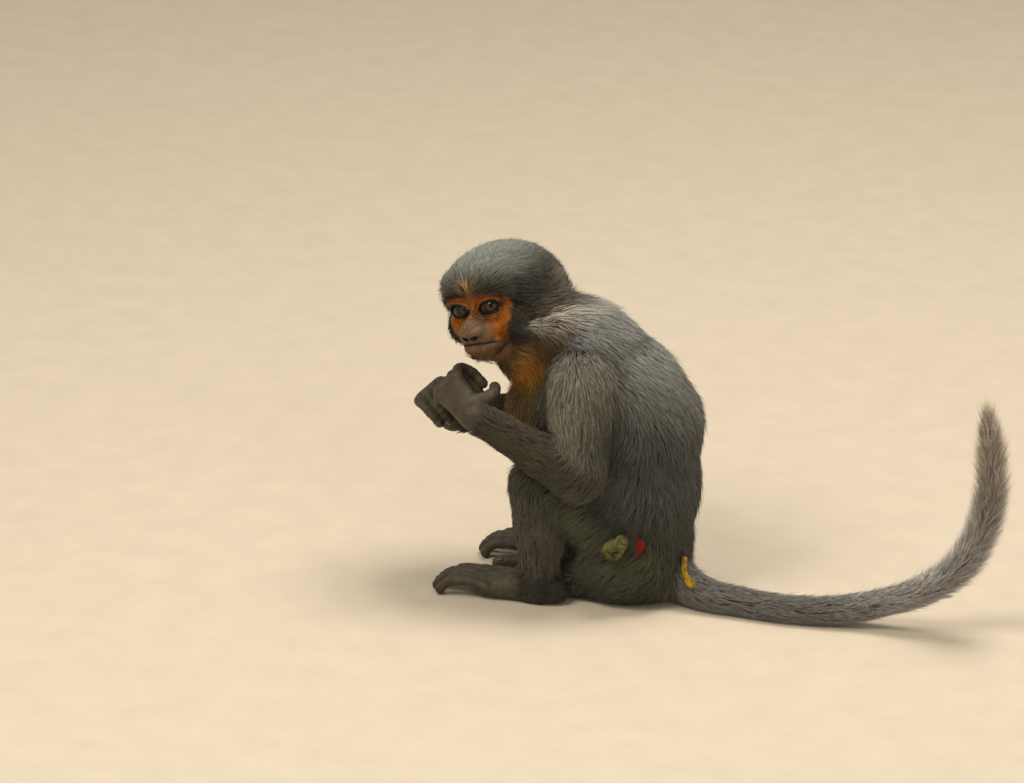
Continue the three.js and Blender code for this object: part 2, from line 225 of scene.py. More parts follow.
class Part:
    """Forms blended by soft, joined to what comes before it by join, and flat at its rest height."""

    def __init__(self, name, soft, join, forms, rest=None, cuts=()):
        self.name, self.soft, self.join, self.forms = name, soft, join, forms
        self.rest, self.cuts = rest, cuts
        lows, highs = zip(*(form_box(f) for f in forms))
        self.low, self.high = np.min(lows, 0) - PART_MARGIN, np.max(highs, 0) + PART_MARGIN

    def distance(self, p):
        d = form_distance(self.forms[0], p)
        for form in self.forms[1:]:
            d = soft_min(d, form_distance(form, p), self.soft)
        for tool in self.cuts:
            d = soft_max(d, -form_distance(tool, p), 4)
        if self.rest is not None:
            d = soft_max(d, self.rest - p[:, 2], 1.5)
        return d


def both(make):
    return [make(LEFT), make(RIGHT)]


DIGIT_SPACING = 7.8
FINGER_ENDS = (208, 222, 218, 198)
FINGER_JOINTS, TOE_JOINTS = (0.42, 0.72), (0.45, 0.72)
THUMB = ((-30, 22, -10), (-52, 20, -17), (-80, 17, -20), (-108, 15, -19))
TOE_REACH = (78, 83, 83, 77)
BIG_TOE = ((12, -10, 10), (28, -21, 9), (46, -29, 7), (60, -33, 5.2))


def finger_line(side, place):
    along, end = DIGIT_SPACING * (place - 1.5), FINGER_ENDS[place]
    shares = (0, 0.25, 0.5, 0.75, 1)
    bent = [in_grip(side, lerp(40, end, t), FINGER_RADIUS - 3 * t, along * (1 - 0.1 * t)) for t in shares]
    return catmull(bent, 12)


def thumb_line(side):
    return catmull([in_grip(side, *at) for at in THUMB], 8)


def toe_line(side, row):
    out, reach = -11.5 + DIGIT_SPACING * row, TOE_REACH[row]
    end = out * 1.15
    arch = ((36, out, 9), (reach - 30, out * 1.1, 13), (reach - 11, end, 13.5))
    tip = ((reach - 2, end, 8), (reach, end, 3.9))
    return catmull([foot_at(side, *at) for at in arch + tip], 12)


def big_toe_line(side):
    return catmull([foot_at(side, *at) for at in BIG_TOE], 8)


def knuckled(points, thick, thin, joints, swell=0.45):
    """A finger or toe: bones along a line, a little thicker at the joints and at the tip's pad."""
    n = len(points)
    t = np.linspace(0, 1, n)
    radii = lerp(thick, thin, t)
    for joint in joints:
        radii = radii + swell * np.exp(-(((t - joint) / 0.08) ** 2))
    return [bone(points[i], points[i + 1], radii[i], radii[i + 1]) for i in range(n - 1)]


HEAD_PART = Part(
    "head",
    7,
    12,
    [
        head_ball((-7, 0, 0), (50, 44, 33), 6),
        head_ball((-34, 0, -5), (26, 41, 27), 7),
        head_ball((22, 0, 12), (24, 33, 15), 4.5),
        bone(in_head(35, -19, 2), in_head(35, 19, 2), 6.5, 6.5, 0.8),
        *both(lambda s: head_ball((-15, -34 * s, -7), (27, 17, 21), 7)),
        *both(lambda s: head_ball((24, -18 * s, -20), (15, 13, 16), 0.6)),
        *both(lambda s: head_ball((4, -32 * s, -27), (20, 12, 12), 8)),
        head_ball((38, 0, -24), (19, 16, 14), 0.8),
        bone(in_head(37, 0, -8), in_head(54, 0, -18), 5, 6.5, 0.6),
        head_ball((36, 0, -38), (16, 13, 9), 1.0),
    ],
    cuts=both(lambda s: head_ball((44, -12 * s, -7), (9, 9, 8))),
)
WRIST = {s: in_grip(s, -45, WRIST_RADIUS, -1) for s in (LEFT, RIGHT)}
# From each wrist to the middle of the hand's back.
ONWARD = {s: unit(in_grip(s, 45, FINGER_RADIUS, 0) - WRIST[s]) for s in (LEFT, RIGHT)}


def tail_flesh(t):
    """The tail's own radius under its hair."""
    return np.interp(t, (0, 0.1, 0.25, 0.7, 0.96, 1), (11, 7.5, 5.8, 5, 3.6, 2.4))


def side_parts(name, s):
    """The ear and the limbs of one side."""
    parts = []

    def add(kind, *measures, rest=None):
        parts.append(Part(kind + name, *measures, rest=rest))

    def at(*place):
        return foot_at(s, *place)

    add("ear_", 2, 3, [("ball", in_head(-19, -47 * s, -11), vec(8.2, 3.0, 12.0), True, 0)])
    thigh = [
        bone(HIP[s], KNEE[s], 28, 20, 6),
        ball(HIP[s] + vec(-8, 6 * s, -10), (38, 24, 33), 7),
        bone((-53, 28 * s, 17), (15, 20 * s, 15), 17, 15, 6),
    ]
    add("thigh_", 10, 9, thigh, rest=3)
    calf = lerp(KNEE[s], ANKLE[s], 0.42) + vec(5, 0, 0)
    shank = [bone(lerp(KNEE[s], ANKLE[s], 0.1), ANKLE[s], 20, 14.5, 4), ball(calf, (19, 17, 32), 4.5)]
    add("shank_", 10, 5, shank, rest=0.6)
    foot = [
        bone(at(-12, 0, 10), at(-2, 0, 12), 11, 12, 1.2),
        bone(ANKLE[s], at(42, 1, 10), 12, 8, 0.6),
        bone(at(0, 0, 8), at(42, 9, 8), 9, 6.5, 0.3),
        bone(at(0, 0, 8), at(40, -8, 8), 9, 6.5, 0.3),
    ]
    add("foot_", 7, 6, foot, rest=0)
    for row in range(4):
        add("toe_", 1, 1.4, knuckled(toe_line(s, row), 3.8, 3.3, (*TOE_JOINTS, 0.97)), rest=0)
    add("big_toe_", 1, 4, knuckled(big_toe_line(s), 6.0, 4.6, (0.55, 0.95)), rest=0)
    muscle = ball(lerp(SHOULDER[s], ELBOW[s], 0.35), (27, 22, 30), 7)
    add("upper_arm_", 10, 7, [bone(SHOULDER[s], ELBOW[s], 28, 20, 6), muscle])
    muscle = ball(lerp(ELBOW[s], WRIST[s], 0.32), (19, 18, 17), 4)
    add("forearm_", 6, 6, [bone(lerp(ELBOW[s], WRIST[s], 0.06), WRIST[s], 18, 12.5, 3.5), muscle])
    knuckles = [in_grip(s, 45, FINGER_RADIUS, along) for along in (-10.5, -3.5, 3.5, 10)]
    add("hand_", 6, 5, [bone(WRIST[s], knuckle, 10, 5.4, 0.6) for knuckle in knuckles])
    for place in range(4):
        add("finger_", 1, 1.0, knuckled(finger_line(s, place), 3.6, 3.05, (0.02, *FINGER_JOINTS, 0.97)))
    add("thumb_", 1, 4, knuckled(thumb_line(s), 5.3, 3.9, (0.5, 0.95)))
    return parts


def body_parts():
    trunk = [
        ball((-11, 0, 34), (38, 46, 42), 7),
        ball((-8, 0, 90), (48, 47, 58), 8),
        ball((-38, 0, 142), (81, 49, 50), 8),
        ball((-34, 0, 172), (54, 43, 40), 9),
    ]
    neck = [
        bone((-48, 0, 192), (-98, 4, 213), 37, 33, 9),
        bone((-80, -4, 170), (-104, -14, 190), 22, 20, 6),
        bone((-60, 6, 190), (-102, 30, 206), 30, 25, 7),
    ]
    flesh = tail_flesh(np.linspace(0, 1, len(TAIL)))
    # The tail's flesh ends a little before the hair of its tip.
    tail = [bone(TAIL[i], TAIL[i + 1], flesh[i], flesh[i + 1]) for i in range(len(TAIL) - 3)]
    middle = [Part("trunk", 20, 1, trunk, rest=3), Part("neck", 10, 14, neck), HEAD_PART]
    limbs = [part for name, s in SIDES for part in side_parts(name, s)]
    return [*middle, *limbs, Part("tail", 2, 10, tail, rest=2)]


PARTS = body_parts()


def body_distance(p):
    """Signed distance in mm from the skin, before the face's own details."""
    d = np.full(len(p), FAR)
    for part in PARTS:
        near = ((p > part.low) & (p < part.high)).all(1)
        if near.any():
            d[near] = soft_min(d[near], part.distance(p[near]), part.join)
    return d


# ------------------------------------------------------------------ the face's own shapes
EYE = {s: in_head(33, -11.7 * s, -7) for s in (LEFT, RIGHT)}
LID_THICKNESS, EYE_SLANT = 1.5, 0.1
OPENING_WIDTH, OPENING_UP, OPENING_DOWN = 8.2, 4.9, 4.4


def eye_axes(s, outward=10, upward=8):
    """Out of the eye's opening, towards its outer corner, and up, for the eye of one side."""
    out, rise = math.radians(outward), math.radians(upward)
    ahead = vec(math.cos(out) * math.cos(rise), -s * math.sin(out) * math.cos(rise), math.sin(rise)) @ HEAD
    aside = unit(np.cross(HEAD_UP, ahead)) * -s
    return ahead, aside, np.cross(ahead, aside) * -s


def eye_opening(p, s):
    """How far each point is outside the lids' opening, and its place before, beside and over the eye."""
    ahead, aside, above = eye_axes(s)
    q = p - EYE[s]
    x, y = q @ aside, q @ above
    bow = np.sqrt(np.clip(1 - (x / OPENING_WIDTH) ** 2, 0, 1))
    slant = EYE_SLANT * x
    rim = np.maximum(y - slant - OPENING_UP * bow, slant - OPENING_DOWN * bow - y)
    beyond = np.hypot(np.maximum(np.abs(x) - OPENING_WIDTH, 0), y - slant)
    rim = np.where(np.abs(x) > OPENING_WIDTH, beyond + 0.3, rim)
    return rim, q @ ahead, x, y


NOSTRIL = {s: (in_head(57, -3.0 * s, -24.5), in_head(52, -8.2 * s, -20.5)) for s in (LEFT, RIGHT)}
MOUTH_HEIGHT, MOUTH_DROOP = -29.5, 0.016
# The height and the thickness of each lip.
LIPS = ((-26.0, 3.4), (-33.5, 3.6))
# The folds over and under each eye: the side they lie on, their height and their depth.
FOLD_WIDTH, FOLDS = 11.5, ((1, 7.4, 0.55), (-1, 6.9, 0.4))
RING_SPACING = 2.6


def over_mouth(l, u):
    """The height over the line between the lips."""
    return u - MOUTH_HEIGHT + MOUTH_DROOP * l * l


def face_distance(p, d):
    """Adds lids, nostrils, lips and creases to the skin's distance."""
    d = d.copy()
    f, l, u = to_head(p).T
    face = smooth(18, 26, f)
    for s in (LEFT, RIGHT):
        wing = ball_distance(p, in_head(51.5, -6.3 * s, -20.5), vec(5.5, 3.8, 4.2), True)
        d = soft_min(d, wing, 3)
    for height, thick in LIPS:
        arc = [in_head(27 + 24 * math.cos(a), 14 * math.sin(a), height) for a in np.linspace(-1.5, 1.5, 7)]
        for a, b in zip(arc[:-1], arc[1:]):
            d = soft_min(d, bone_distance(p, a, b, thick, thick), 4)
    slit = np.exp(-((over_mouth(l, u) / 0.9) ** 2))
    d = d + 1.3 * slit * smooth(22, 30, f) * smooth(17, 13, np.abs(l))
    for s in (LEFT, RIGHT):
        rim, ahead, x, y = eye_opening(p, s)
        radius = np.linalg.norm(p - EYE[s], axis=1)
        lids = radius - EYE_RADIUS - LID_THICKNESS
        d = np.where(radius < 20, soft_min(d, lids, 3.0), d)
        near = (np.abs(x) < FOLD_WIDTH) * (ahead > 0)
        for way, height, depth in FOLDS:
            arch = height * np.sqrt(np.clip(1 - (x / FOLD_WIDTH) ** 2, 0, 1))
            away = way * (y - EYE_SLANT * x) - arch
            d = d + near * depth * np.exp(-((away / 0.8) ** 2)) * (y * way > 0)
        hole = np.maximum(rim, 0.5 - ahead)
        d = np.where(radius < 16, soft_max(d, -hole, 0.7), d)
        a, b = NOSTRIL[s]
        d = soft_max(d, -bone_distance(p, a, b, 1.6, 1.0), 1.2)
        # Creases that ring the nostril over the side of the muzzle.
        ring = np.hypot(l + 8.5 * s, (u + 20.5) * 1.1)
        over = smooth(-22, -16, u) * smooth(20, 14, ring) * smooth(3.5, 5, ring)
        d = d + 0.7 * face * over * (0.5 + 0.5 * np.sin(ring * 2 * math.pi / RING_SPACING)) * (l * -s > 0)
    return d


# Across each joint of the fingers and toes the skin is folded finely.
CREASE_SPACING, CREASE_DEPTH, CREASE_FADE, CREASE_REACH = 2.1, 0.32, 3.2, 6.5


def creased_places():
    """The joints' places, and the digit's direction at each."""
    found = []
    for _, s in SIDES:
        for row in range(4):
            for line, joints in ((finger_line(s, row), FINGER_JOINTS), (toe_line(s, row), TOE_JOINTS)):
                for i in (round(joint * (len(line) - 1)) for joint in joints):
                    found.append((line[i], unit(line[i + 1] - line[i - 1])))
    return found


CREASED = creased_places()


def with_creases(p, d):
    for place, along in CREASED:
        near = (np.abs(p - place) < CREASE_REACH).all(1) & (np.abs(d) < 4)
        if near.any():
            s = (p[near] - place) @ along
            fold = (0.5 + 0.5 * np.cos(s * 2 * math.pi / CREASE_SPACING)) ** 2
            d[near] += CREASE_DEPTH * fold * np.exp(-((s / CREASE_FADE) ** 2))
    return d


def with_details(p, d):
    head = to_head(p)
    face = (head[:, 0] > 16) & (np.abs(head[:, 1]) < 34) & (head[:, 2] < 24) & (d < 12)
    d[face] = face_distance(p[face], d[face])
    for s in (LEFT, RIGHT):
        bowl = ball_distance(p, in_head(-16.5, -51.0 * s, -10), vec(4.8, 3.6, 8.0), True)
        d = soft_max(d, -bowl, 1.0)
    return with_creases(p, d)


def skin_distance(p):
    return with_details(p, body_distance(p))


# ------------------------------------------------------------------ the skin's mesh
VOXEL, GRID_MARGIN = 1.5, 14
grid_low = np.array(cad_box[0]) / MM - GRID_MARGIN
grid_size = np.ceil((np.array(cad_box[1]) / MM + GRID_MARGIN - grid_low) / VOXEL).astype(int)


def cells_between(low, high):
    """The block of the grid between two corners, and the places of its samples."""
    first = np.clip(np.floor((low - grid_low) / VOXEL), 0, grid_size).astype(int)
    last = np.clip(np.ceil((high - grid_low) / VOXEL), 0, grid_size).astype(int)
    where = np.indices(last - first).reshape(3, -1).T + first
    return tuple(slice(a, b) for a, b in zip(first, last)), grid_low + where * VOXEL


def head_box(forward, left, up):
    """The corners of an upright box round a block of the head."""
    corners = [in_head(f, l, u) for f in forward for l in left for u in up]
    return np.min(corners, 0), np.max(corners, 0)


def distance_grid():
    grid = np.full(grid_size, FAR, np.float32)
    for part in PARTS:
        block, places = cells_between(part.low, part.high)
        here = part.distance(places).reshape(grid[block].shape)
        grid[block] = soft_min(grid[block], here, part.join)
    block, places = cells_between(*head_box((10, 70), (-40, 40), (-55, 25)))
    here = with_details(places, grid[block].ravel().astype(float))
    grid[block] = here.reshape(grid[block].shape)
    return grid


GRID = distance_grid()


def looked_up(p):
    """The skin's distance at each point, from the grid."""
    at = np.clip((p - grid_low) / VOXEL, 0, grid_size - 1.001)
    i = at.astype(int)
    t = at - i
    total = 0
    for corner in range(8):
        bit = np.array((corner & 1, corner >> 1 & 1, corner >> 2 & 1))
        share = np.where(bit, t, 1 - t).prod(1)
        j = i + bit
        total = total + share * GRID[j[:, 0], j[:, 1], j[:, 2]]
    return total


def uphill(distance, p, step=1.0):
    """The direction in which a distance grows fastest."""
    slope = [distance(p + step * axis) - distance(p - step * axis) for axis in np.eye(3)]
    return np.stack(slope, 1) / (2 * step)


def settled(p):
    """Points moved onto the skin's exact surface."""
    for _ in range(2):
        slope = uphill(skin_distance, p, 0.2)
        move = skin_distance(p)[:, None] * slope / np.maximum(dot(slope, slope), 0.2)
        p = p - np.clip(move, -1.5, 1.5)
    return p


def mesh_object(name, points, faces, smooth_shaded=True):
    """A mesh in the scene; each row of faces holds the corners of one face."""
    mesh = bpy.data.meshes.new(name)
    count, corners = faces.shape
    mesh.vertices.add(len(points))
    mesh.vertices.foreach_set("co", (points * MM).astype(np.float32).ravel())
    mesh.loops.add(count * corners)
    mesh.loops.foreach_set("vertex_index", faces.astype(np.int32).ravel())
    mesh.polygons.add(count)
    mesh.polygons.foreach_set("loop_start", np.arange(0, count * corners, corners, dtype=np.int32))
    mesh.update(calc_edges=True)
    mesh.validate()
    if smooth_shaded:
        mesh.polygons.foreach_set("use_smooth", np.ones(len(mesh.polygons), bool))
    piece = bpy.data.objects.new(name, mesh)
    bpy.context.scene.collection.objects.link(piece)
    return piece


def points_of(piece):
    found = np.empty(len(piece.data.vertices) * 3, np.float32)
    piece.data.vertices.foreach_get("co", found)
    return found.reshape(-1, 3).astype(float) / MM


def refine(piece, wanted):
    """Splits the faces whose corners are all wanted into four."""
    p = points_of(piece)
    keep = wanted(p)
    bm = bmesh.new()
    bm.from_mesh(piece.data)
    bm.verts.ensure_lookup_table()
    edges = [e for e in bm.edges if keep[e.verts[0].index] and keep[e.verts[1].index]]
    bmesh.ops.subdivide_edges(bm, edges=edges, cuts=1, use_grid_fill=True)
    bm.to_mesh(piece.data)
    bm.free()


def near_face(p):
    f, l, u = to_head(p).T
    return (f > 21) & (np.abs(l) < 30) & (u < 11) & (u > -51)


def near_eyes(p):
    f, l, u = to_head(p).T
    eyes = np.minimum(*(np.linalg.norm(p - EYE[s], axis=1) for s in (LEFT, RIGHT)))
    nose = (np.abs(l) < 14) & (u < -12) & (u > -36) & (f > 36)
    return (f > 26) & ((eyes < 16) | nose)


DIGITS = [part for part in PARTS if part.name.startswith(("finger", "toe", "thumb", "big_toe", "hand"))]


def near_digits(p):
    near = np.zeros(len(p), bool)
    for part in DIGITS:
        inside = ((p > part.low + PART_MARGIN - 6) & (p < part.high - PART_MARGIN + 6)).all(1)
        near[inside] |= part.distance(p[inside]) < 1.5
    return near


def doubled(grid):
    """The grid with a new sample halfway between each two."""
    for axis in range(3):
        grid = np.moveaxis(grid, axis, 0)
        finer = np.empty((2 * len(grid) - 1, *grid.shape[1:]), np.float32)
        finer[::2] = grid
        finer[1::2] = (grid[1:] + grid[:-1]) / 2
        grid = np.moveaxis(finer, 0, axis)
    return np.ascontiguousarray(grid)


def detail_boxes():
    """Boxes round the face, the hands and the feet, where the skin is worked out in full."""
    boxes = [head_box((18, 66), (-36, 36), (-52, 22))]
    for kinds in (("hand_", "finger_", "thumb_"), ("foot_", "toe_", "big_toe_"), ("ear_",)):
        for name, _ in SIDES:
            own = [part for part in PARTS if part.name in [kind + name for kind in kinds]]
            low, high = np.min([part.low for part in own], 0), np.max([part.high for part in own], 0)
            boxes.append((low + PART_MARGIN - 2, high - PART_MARGIN + 2))
    return boxes


# How far flat stretches of the skin are merged into larger faces, from 0 to 1, and the reach of the
# distances that the skin is drawn from.
FLATTENING, BAND = 0.06, 4.0


def make_skin():
    fine, voxel = doubled(GRID), VOXEL / 2
    for low, high in detail_boxes():
        first, last = (np.clip((c - grid_low) / voxel, 0, fine.shape).astype(int) for c in (low, high))
        block = tuple(slice(a, b) for a, b in zip(first, last))
        band = np.argwhere(np.abs(fine[block]) < 2 * VOXEL) + first
        fine[tuple(band.T)] = skin_distance(grid_low + band * voxel)
    volume = openvdb.FloatGrid()
    volume.background = BAND
    volume.copyFromArray(np.clip(fine, -BAND, BAND))
    points, triangles, quads = volume.convertToPolygons(0.0, FLATTENING)
    halves = np.concatenate((quads[:, [0, 1, 2]], quads[:, [0, 2, 3]]))
    skin = mesh_object("skin", grid_low + points * voxel, np.concatenate((triangles, halves)))
    refine(skin, near_eyes)
    p = points_of(skin)
    close = near_face(p) | near_digits(p)
    p[close] = settled(p[close])
    skin.data.vertices.foreach_set("co", (p * MM).astype(np.float32).ravel())
    skin.data.update()
    return skin


# ------------------------------------------------------------------ materials
def put(tree, socket, value):
    """Sets an input to a constant, or links it to another node's output."""
    if isinstance(value, bpy.types.NodeSocket):
        tree.links.new(value, socket)
    else:
        socket.default_value = value


def fill(tree, node, **inputs):
    for name, value in inputs.items():
        put(tree, node.inputs[name.replace("_", " ")], value)
    return node


def linked(tree, kind, **inputs):
    """A new node with its inputs filled."""
    return fill(tree, tree.nodes.new(kind), **inputs)


def maths(tree, operation, *values):
    node = tree.nodes.new("ShaderNodeMath")
    node.operation = operation
    for socket, value in zip(node.inputs, values):
        put(tree, socket, value)
    return node.outputs[0]


def place_of(tree):
    return tree.nodes.new("ShaderNodeTexCoord").outputs["Object"]


def noise(tree, scale, detail=3.0):
    node = linked(tree, "ShaderNodeTexNoise", Vector=place_of(tree), Scale=scale, Detail=detail)
    return node.outputs["Fac"]


def tinted(tree, colour, value, low, high):
    """A colour made darker and lighter as a value goes from 0.3 to 0.7."""
    gain = linked(tree, "ShaderNodeMapRange", Value=value, From_Min=0.3, From_Max=0.7)
    fill(tree, gain, To_Min=low, To_Max=high)
    scale = tree.nodes.new("ShaderNodeVectorMath")
    scale.operation = "SCALE"
    return fill(tree, scale, Vector=colour, Scale=gain.outputs["Result"]).outputs["Vector"]


def marked(tree):
    """The colours that the mesh carries."""
    node = tree.nodes.new("ShaderNodeVertexColor")
    node.layer_name = "markings_and_painted_light"
    return node.outputs["Color"]


def bump(tree, shader, height, distance, strength):
    node = linked(tree, "ShaderNodeBump", Height=height, Strength=strength, Distance=distance)
    fill(tree, shader, Normal=node.outputs["Normal"])


def material(name, roughness, build):
    made = bpy.data.materials.new(name)
    made.use_nodes = True
    shader = made.node_tree.nodes["Principled BSDF"]
    fill(made.node_tree, shader, Roughness=roughness)
    build(made.node_tree, shader)
    return made


def fur_look(tree, shader):
    colour = tinted(tree, marked(tree), noise(tree, 600.0), 0.82, 1.18)
    fill(tree, shader, Base_Color=colour, Specular_IOR_Level=0.32, Sheen_Weight=0.12, Sheen_Roughness=0.4)


def skin_look(tree, shader):
    """Mottled skin with a fine net of folds."""
    colour = tinted(tree, marked(tree), noise(tree, 260.0, 5.0), 0.8, 1.2)
    fill(tree, shader, Base_Color=colour, Specular_IOR_Level=0.2)
    net = linked(tree, "ShaderNodeTexVoronoi", Vector=place_of(tree), Scale=900.0)
    net.feature = "DISTANCE_TO_EDGE"
    folds = maths(tree, "MULTIPLY_ADD", net.outputs["Distance"], 0.9, noise(tree, 340.0, 4.0))
    bump(tree, shader, folds, 0.0005, 0.75)


def eye_look(tree, shader):
    colour = tinted(tree, marked(tree), noise(tree, 900.0, 4.0), 0.85, 1.15)
    fill(tree, shader, Base_Color=colour, Specular_IOR_Level=0.12, Coat_Weight=0.14, Coat_Roughness=0.02)


NAIL, FLOOR, SKY = (0.05, 0.042, 0.038), (0.56, 0.48, 0.375), (1.0, 0.955, 0.88)


def nail_look(tree, shader):
    ridges = noise(tree, 700.0)
    fill(tree, shader, Base_Color=tinted(tree, NAIL, ridges, 0.75, 1.3))
    bump(tree, shader, ridges, 0.0002, 0.5)


def cloth_look(dark, light, thread):
    """Plain weave: two sets of fine threads, stained and worn in patches."""

    def build(tree, shader):
        stain = linked(tree, "ShaderNodeValToRGB", Fac=noise(tree, 160.0, 5.0))
        for stop, place, colour in zip(stain.color_ramp.elements, (0.35, 0.65), (dark, light)):
            stop.position, stop.color = place, (*colour, 1)
        sets = []
        for turn in ((0.0, 0.0, 0.6), (0.9, 0.3, -0.9)):
            place = linked(tree, "ShaderNodeMapping", Vector=place_of(tree), Rotation=turn)
            wave = linked(tree, "ShaderNodeTexWave", Vector=place.outputs["Vector"], Scale=thread)
            sets.append(wave.outputs["Fac"])
        weave = maths(tree, "MAXIMUM", *sets)
        colour = tinted(tree, stain.outputs["Color"], weave, 0.82, 1.05)
        fill(tree, shader, Base_Color=colour, Sheen_Weight=0.05, Specular_IOR_Level=0.2)
        bump(tree, shader, weave, 0.0003, 0.6)

    return build


# ------------------------------------------------------------------ camera, floor and light
VIEW_AZIMUTH, VIEW_ELEVATION, VIEW_DISTANCE = math.radians(20), math.radians(19), 4200
FRAME_WIDTH, SENSOR = 788.5, 36.0
TO_CAMERA = vec(
    math.sin(VIEW_AZIMUTH) * math.cos(VIEW_ELEVATION),
    -math.cos(VIEW_AZIMUTH) * math.cos(VIEW_ELEVATION),
    math.sin(VIEW_ELEVATION),
)
RIGHTWARDS = vec(math.cos(VIEW_AZIMUTH), math.sin(VIEW_AZIMUTH), 0)
UPWARDS = np.cross(TO_CAMERA, RIGHTWARDS)
AIM = -106.3 * RIGHTWARDS + 154.4 * UPWARDS
FLOOR_RADIUS, FLOOR_SIDES = 14000, 64
SKY_STRENGTH, LAMPS_AIM = 0.42, vec(-40, 0, 110)
# Each lamp's name, place in mm, width in m, power in W and colour.
LAMPS = (
    ("key", (-900, -1500, 2300), 1.3, 44, (1.0, 0.93, 0.80)),
    ("fill", (1900, -2100, 1200), 1.8, 18, SKY),
    ("top", (500, 500, 2500), 1.2, 50, (1.0, 0.94, 0.83)),
)


def aimed(thing, place, aim):
    thing.location = place * MM
    thing.rotation_euler = Vector(aim - place).to_track_quat("-Z", "Y").to_euler()
    bpy.context.scene.collection.objects.link(thing)


def make_camera():
    data = bpy.data.cameras.new("camera")
    data.sensor_width = SENSOR
    data.lens = SENSOR * VIEW_DISTANCE / FRAME_WIDTH
    data.clip_start, data.clip_end = 0.1, 100
    camera = bpy.data.objects.new("camera", data)
    aimed(camera, AIM + TO_CAMERA * VIEW_DISTANCE, AIM)
    bpy.context.scene.camera = camera


def lamp(name, place, size, power, colour):
    data = bpy.data.lights.new(name, "AREA")
    data.shape, data.size, data.energy, data.color = "DISK", size, power, colour
    aimed(bpy.data.objects.new(name, data), vec(*place), LAMPS_AIM)


def floor_look(tree, shader):
    fill(tree, shader, Base_Color=tinted(tree, FLOOR, noise(tree, 30.0), 0.97, 1.03))


def make_stage():
    angles = np.linspace(0, 2 * math.pi, FLOOR_SIDES, endpoint=False)
    rim = np.stack((np.cos(angles), np.sin(angles), 0 * angles), 1) * FLOOR_RADIUS
    floor = mesh_object("floor", rim, np.arange(FLOOR_SIDES)[None, :], False)
    floor.data.materials.append(material("pale_floor", 0.9, floor_look))
    world = bpy.data.worlds.new("studio")
    world.use_nodes = True
    fill(world.node_tree, world.node_tree.nodes["Background"], Color=(*SKY, 1), Strength=SKY_STRENGTH)
    bpy.context.scene.world = world
    for measures in LAMPS:
        lamp(*measures)


# ------------------------------------------------------------------ places on the coat
def spot(p, centre, radii):
    """A soft patch: 1 at its centre, falling away over its radii."""
    away = np.linalg.norm((p - np.asarray(centre)) / vec(*radii), axis=1)
    return np.exp(-(away**2))[:, None]


def beside_cheek(p):
    """1 at the side of the head and of the neck next to it."""
    l = np.abs(to_head(p)[:, 1])
    return smooth(16, 24, l) * smooth(62, 48, l)


def above_whiskers(p):
    """The height over the line along which the light whiskers lie."""
    f, _, u = to_head(p).T
    return u + 33.3 - 0.225 * f


def whiskers(p):
    """1 along the tuft of long light hair that sweeps back from each cheek."""
    f = to_head(p)[:, 0]
    band = np.exp(-((above_whiskers(p) / 3.0) ** 2))
    return band * beside_cheek(p) * smooth(36, 29, f) * smooth(-36, -24, f)


# ------------------------------------------------------------------ the lie of the coat
NAPE_TUFT = vec(-62, 0, 226)
CLOTH_AT, CLOTH_OUT = vec(-10, -57, 54), unit(vec(-0.25, -0.95, 0.15))
HAIRY = ["head", "neck", "trunk", "tail"]
LIMBS = ("thigh_", "shank_", "foot_", "upper_arm_", "forearm_", "hand_", "ear_")
HAIRY += [kind + name for name, _ in SIDES for kind in LIMBS]
GROUPS = {name: next(part for part in PARTS if part.name == name) for name in HAIRY}


def shares_of(p, softness=3.0):
    """How much each group has a say at each point."""
    d = np.full((len(GROUPS), len(p)), 60.0)
    for row, part in zip(d, GROUPS.values()):
        near = ((p > part.low) & (p < part.high)).all(1)
        row[near] = part.distance(p[near])
    weights = np.exp(-(d - d.min(0)) / softness)
    return dict(zip(GROUPS, weights / weights.sum(0)))


def limbs(shares, kind):
    return shares[kind + "left"] + shares[kind + "right"]


def along_tail(p):
    """How far along the tail each point is, from 0 to 1, and the tail's direction there."""
    gaps = np.linalg.norm(p[:, None, :] - TAIL[None, ::2, :], axis=2)
    i = gaps.argmin(1) * 2
    return i / (len(TAIL) - 1), unit(np.gradient(TAIL, axis=0))[i]


OVER_SHOULDERS, DOWN_BACK, OVER_LOINS = vec(0.85, 0, -0.5), vec(0.2, 0, -1), vec(0.45, 0, -1)
DOWN_CHEST, DOWN_NAPE, DOWN_THIGH = vec(-0.1, 0, -1), vec(0.9, 0, -0.45), vec(-0.25, 0, -0.6)


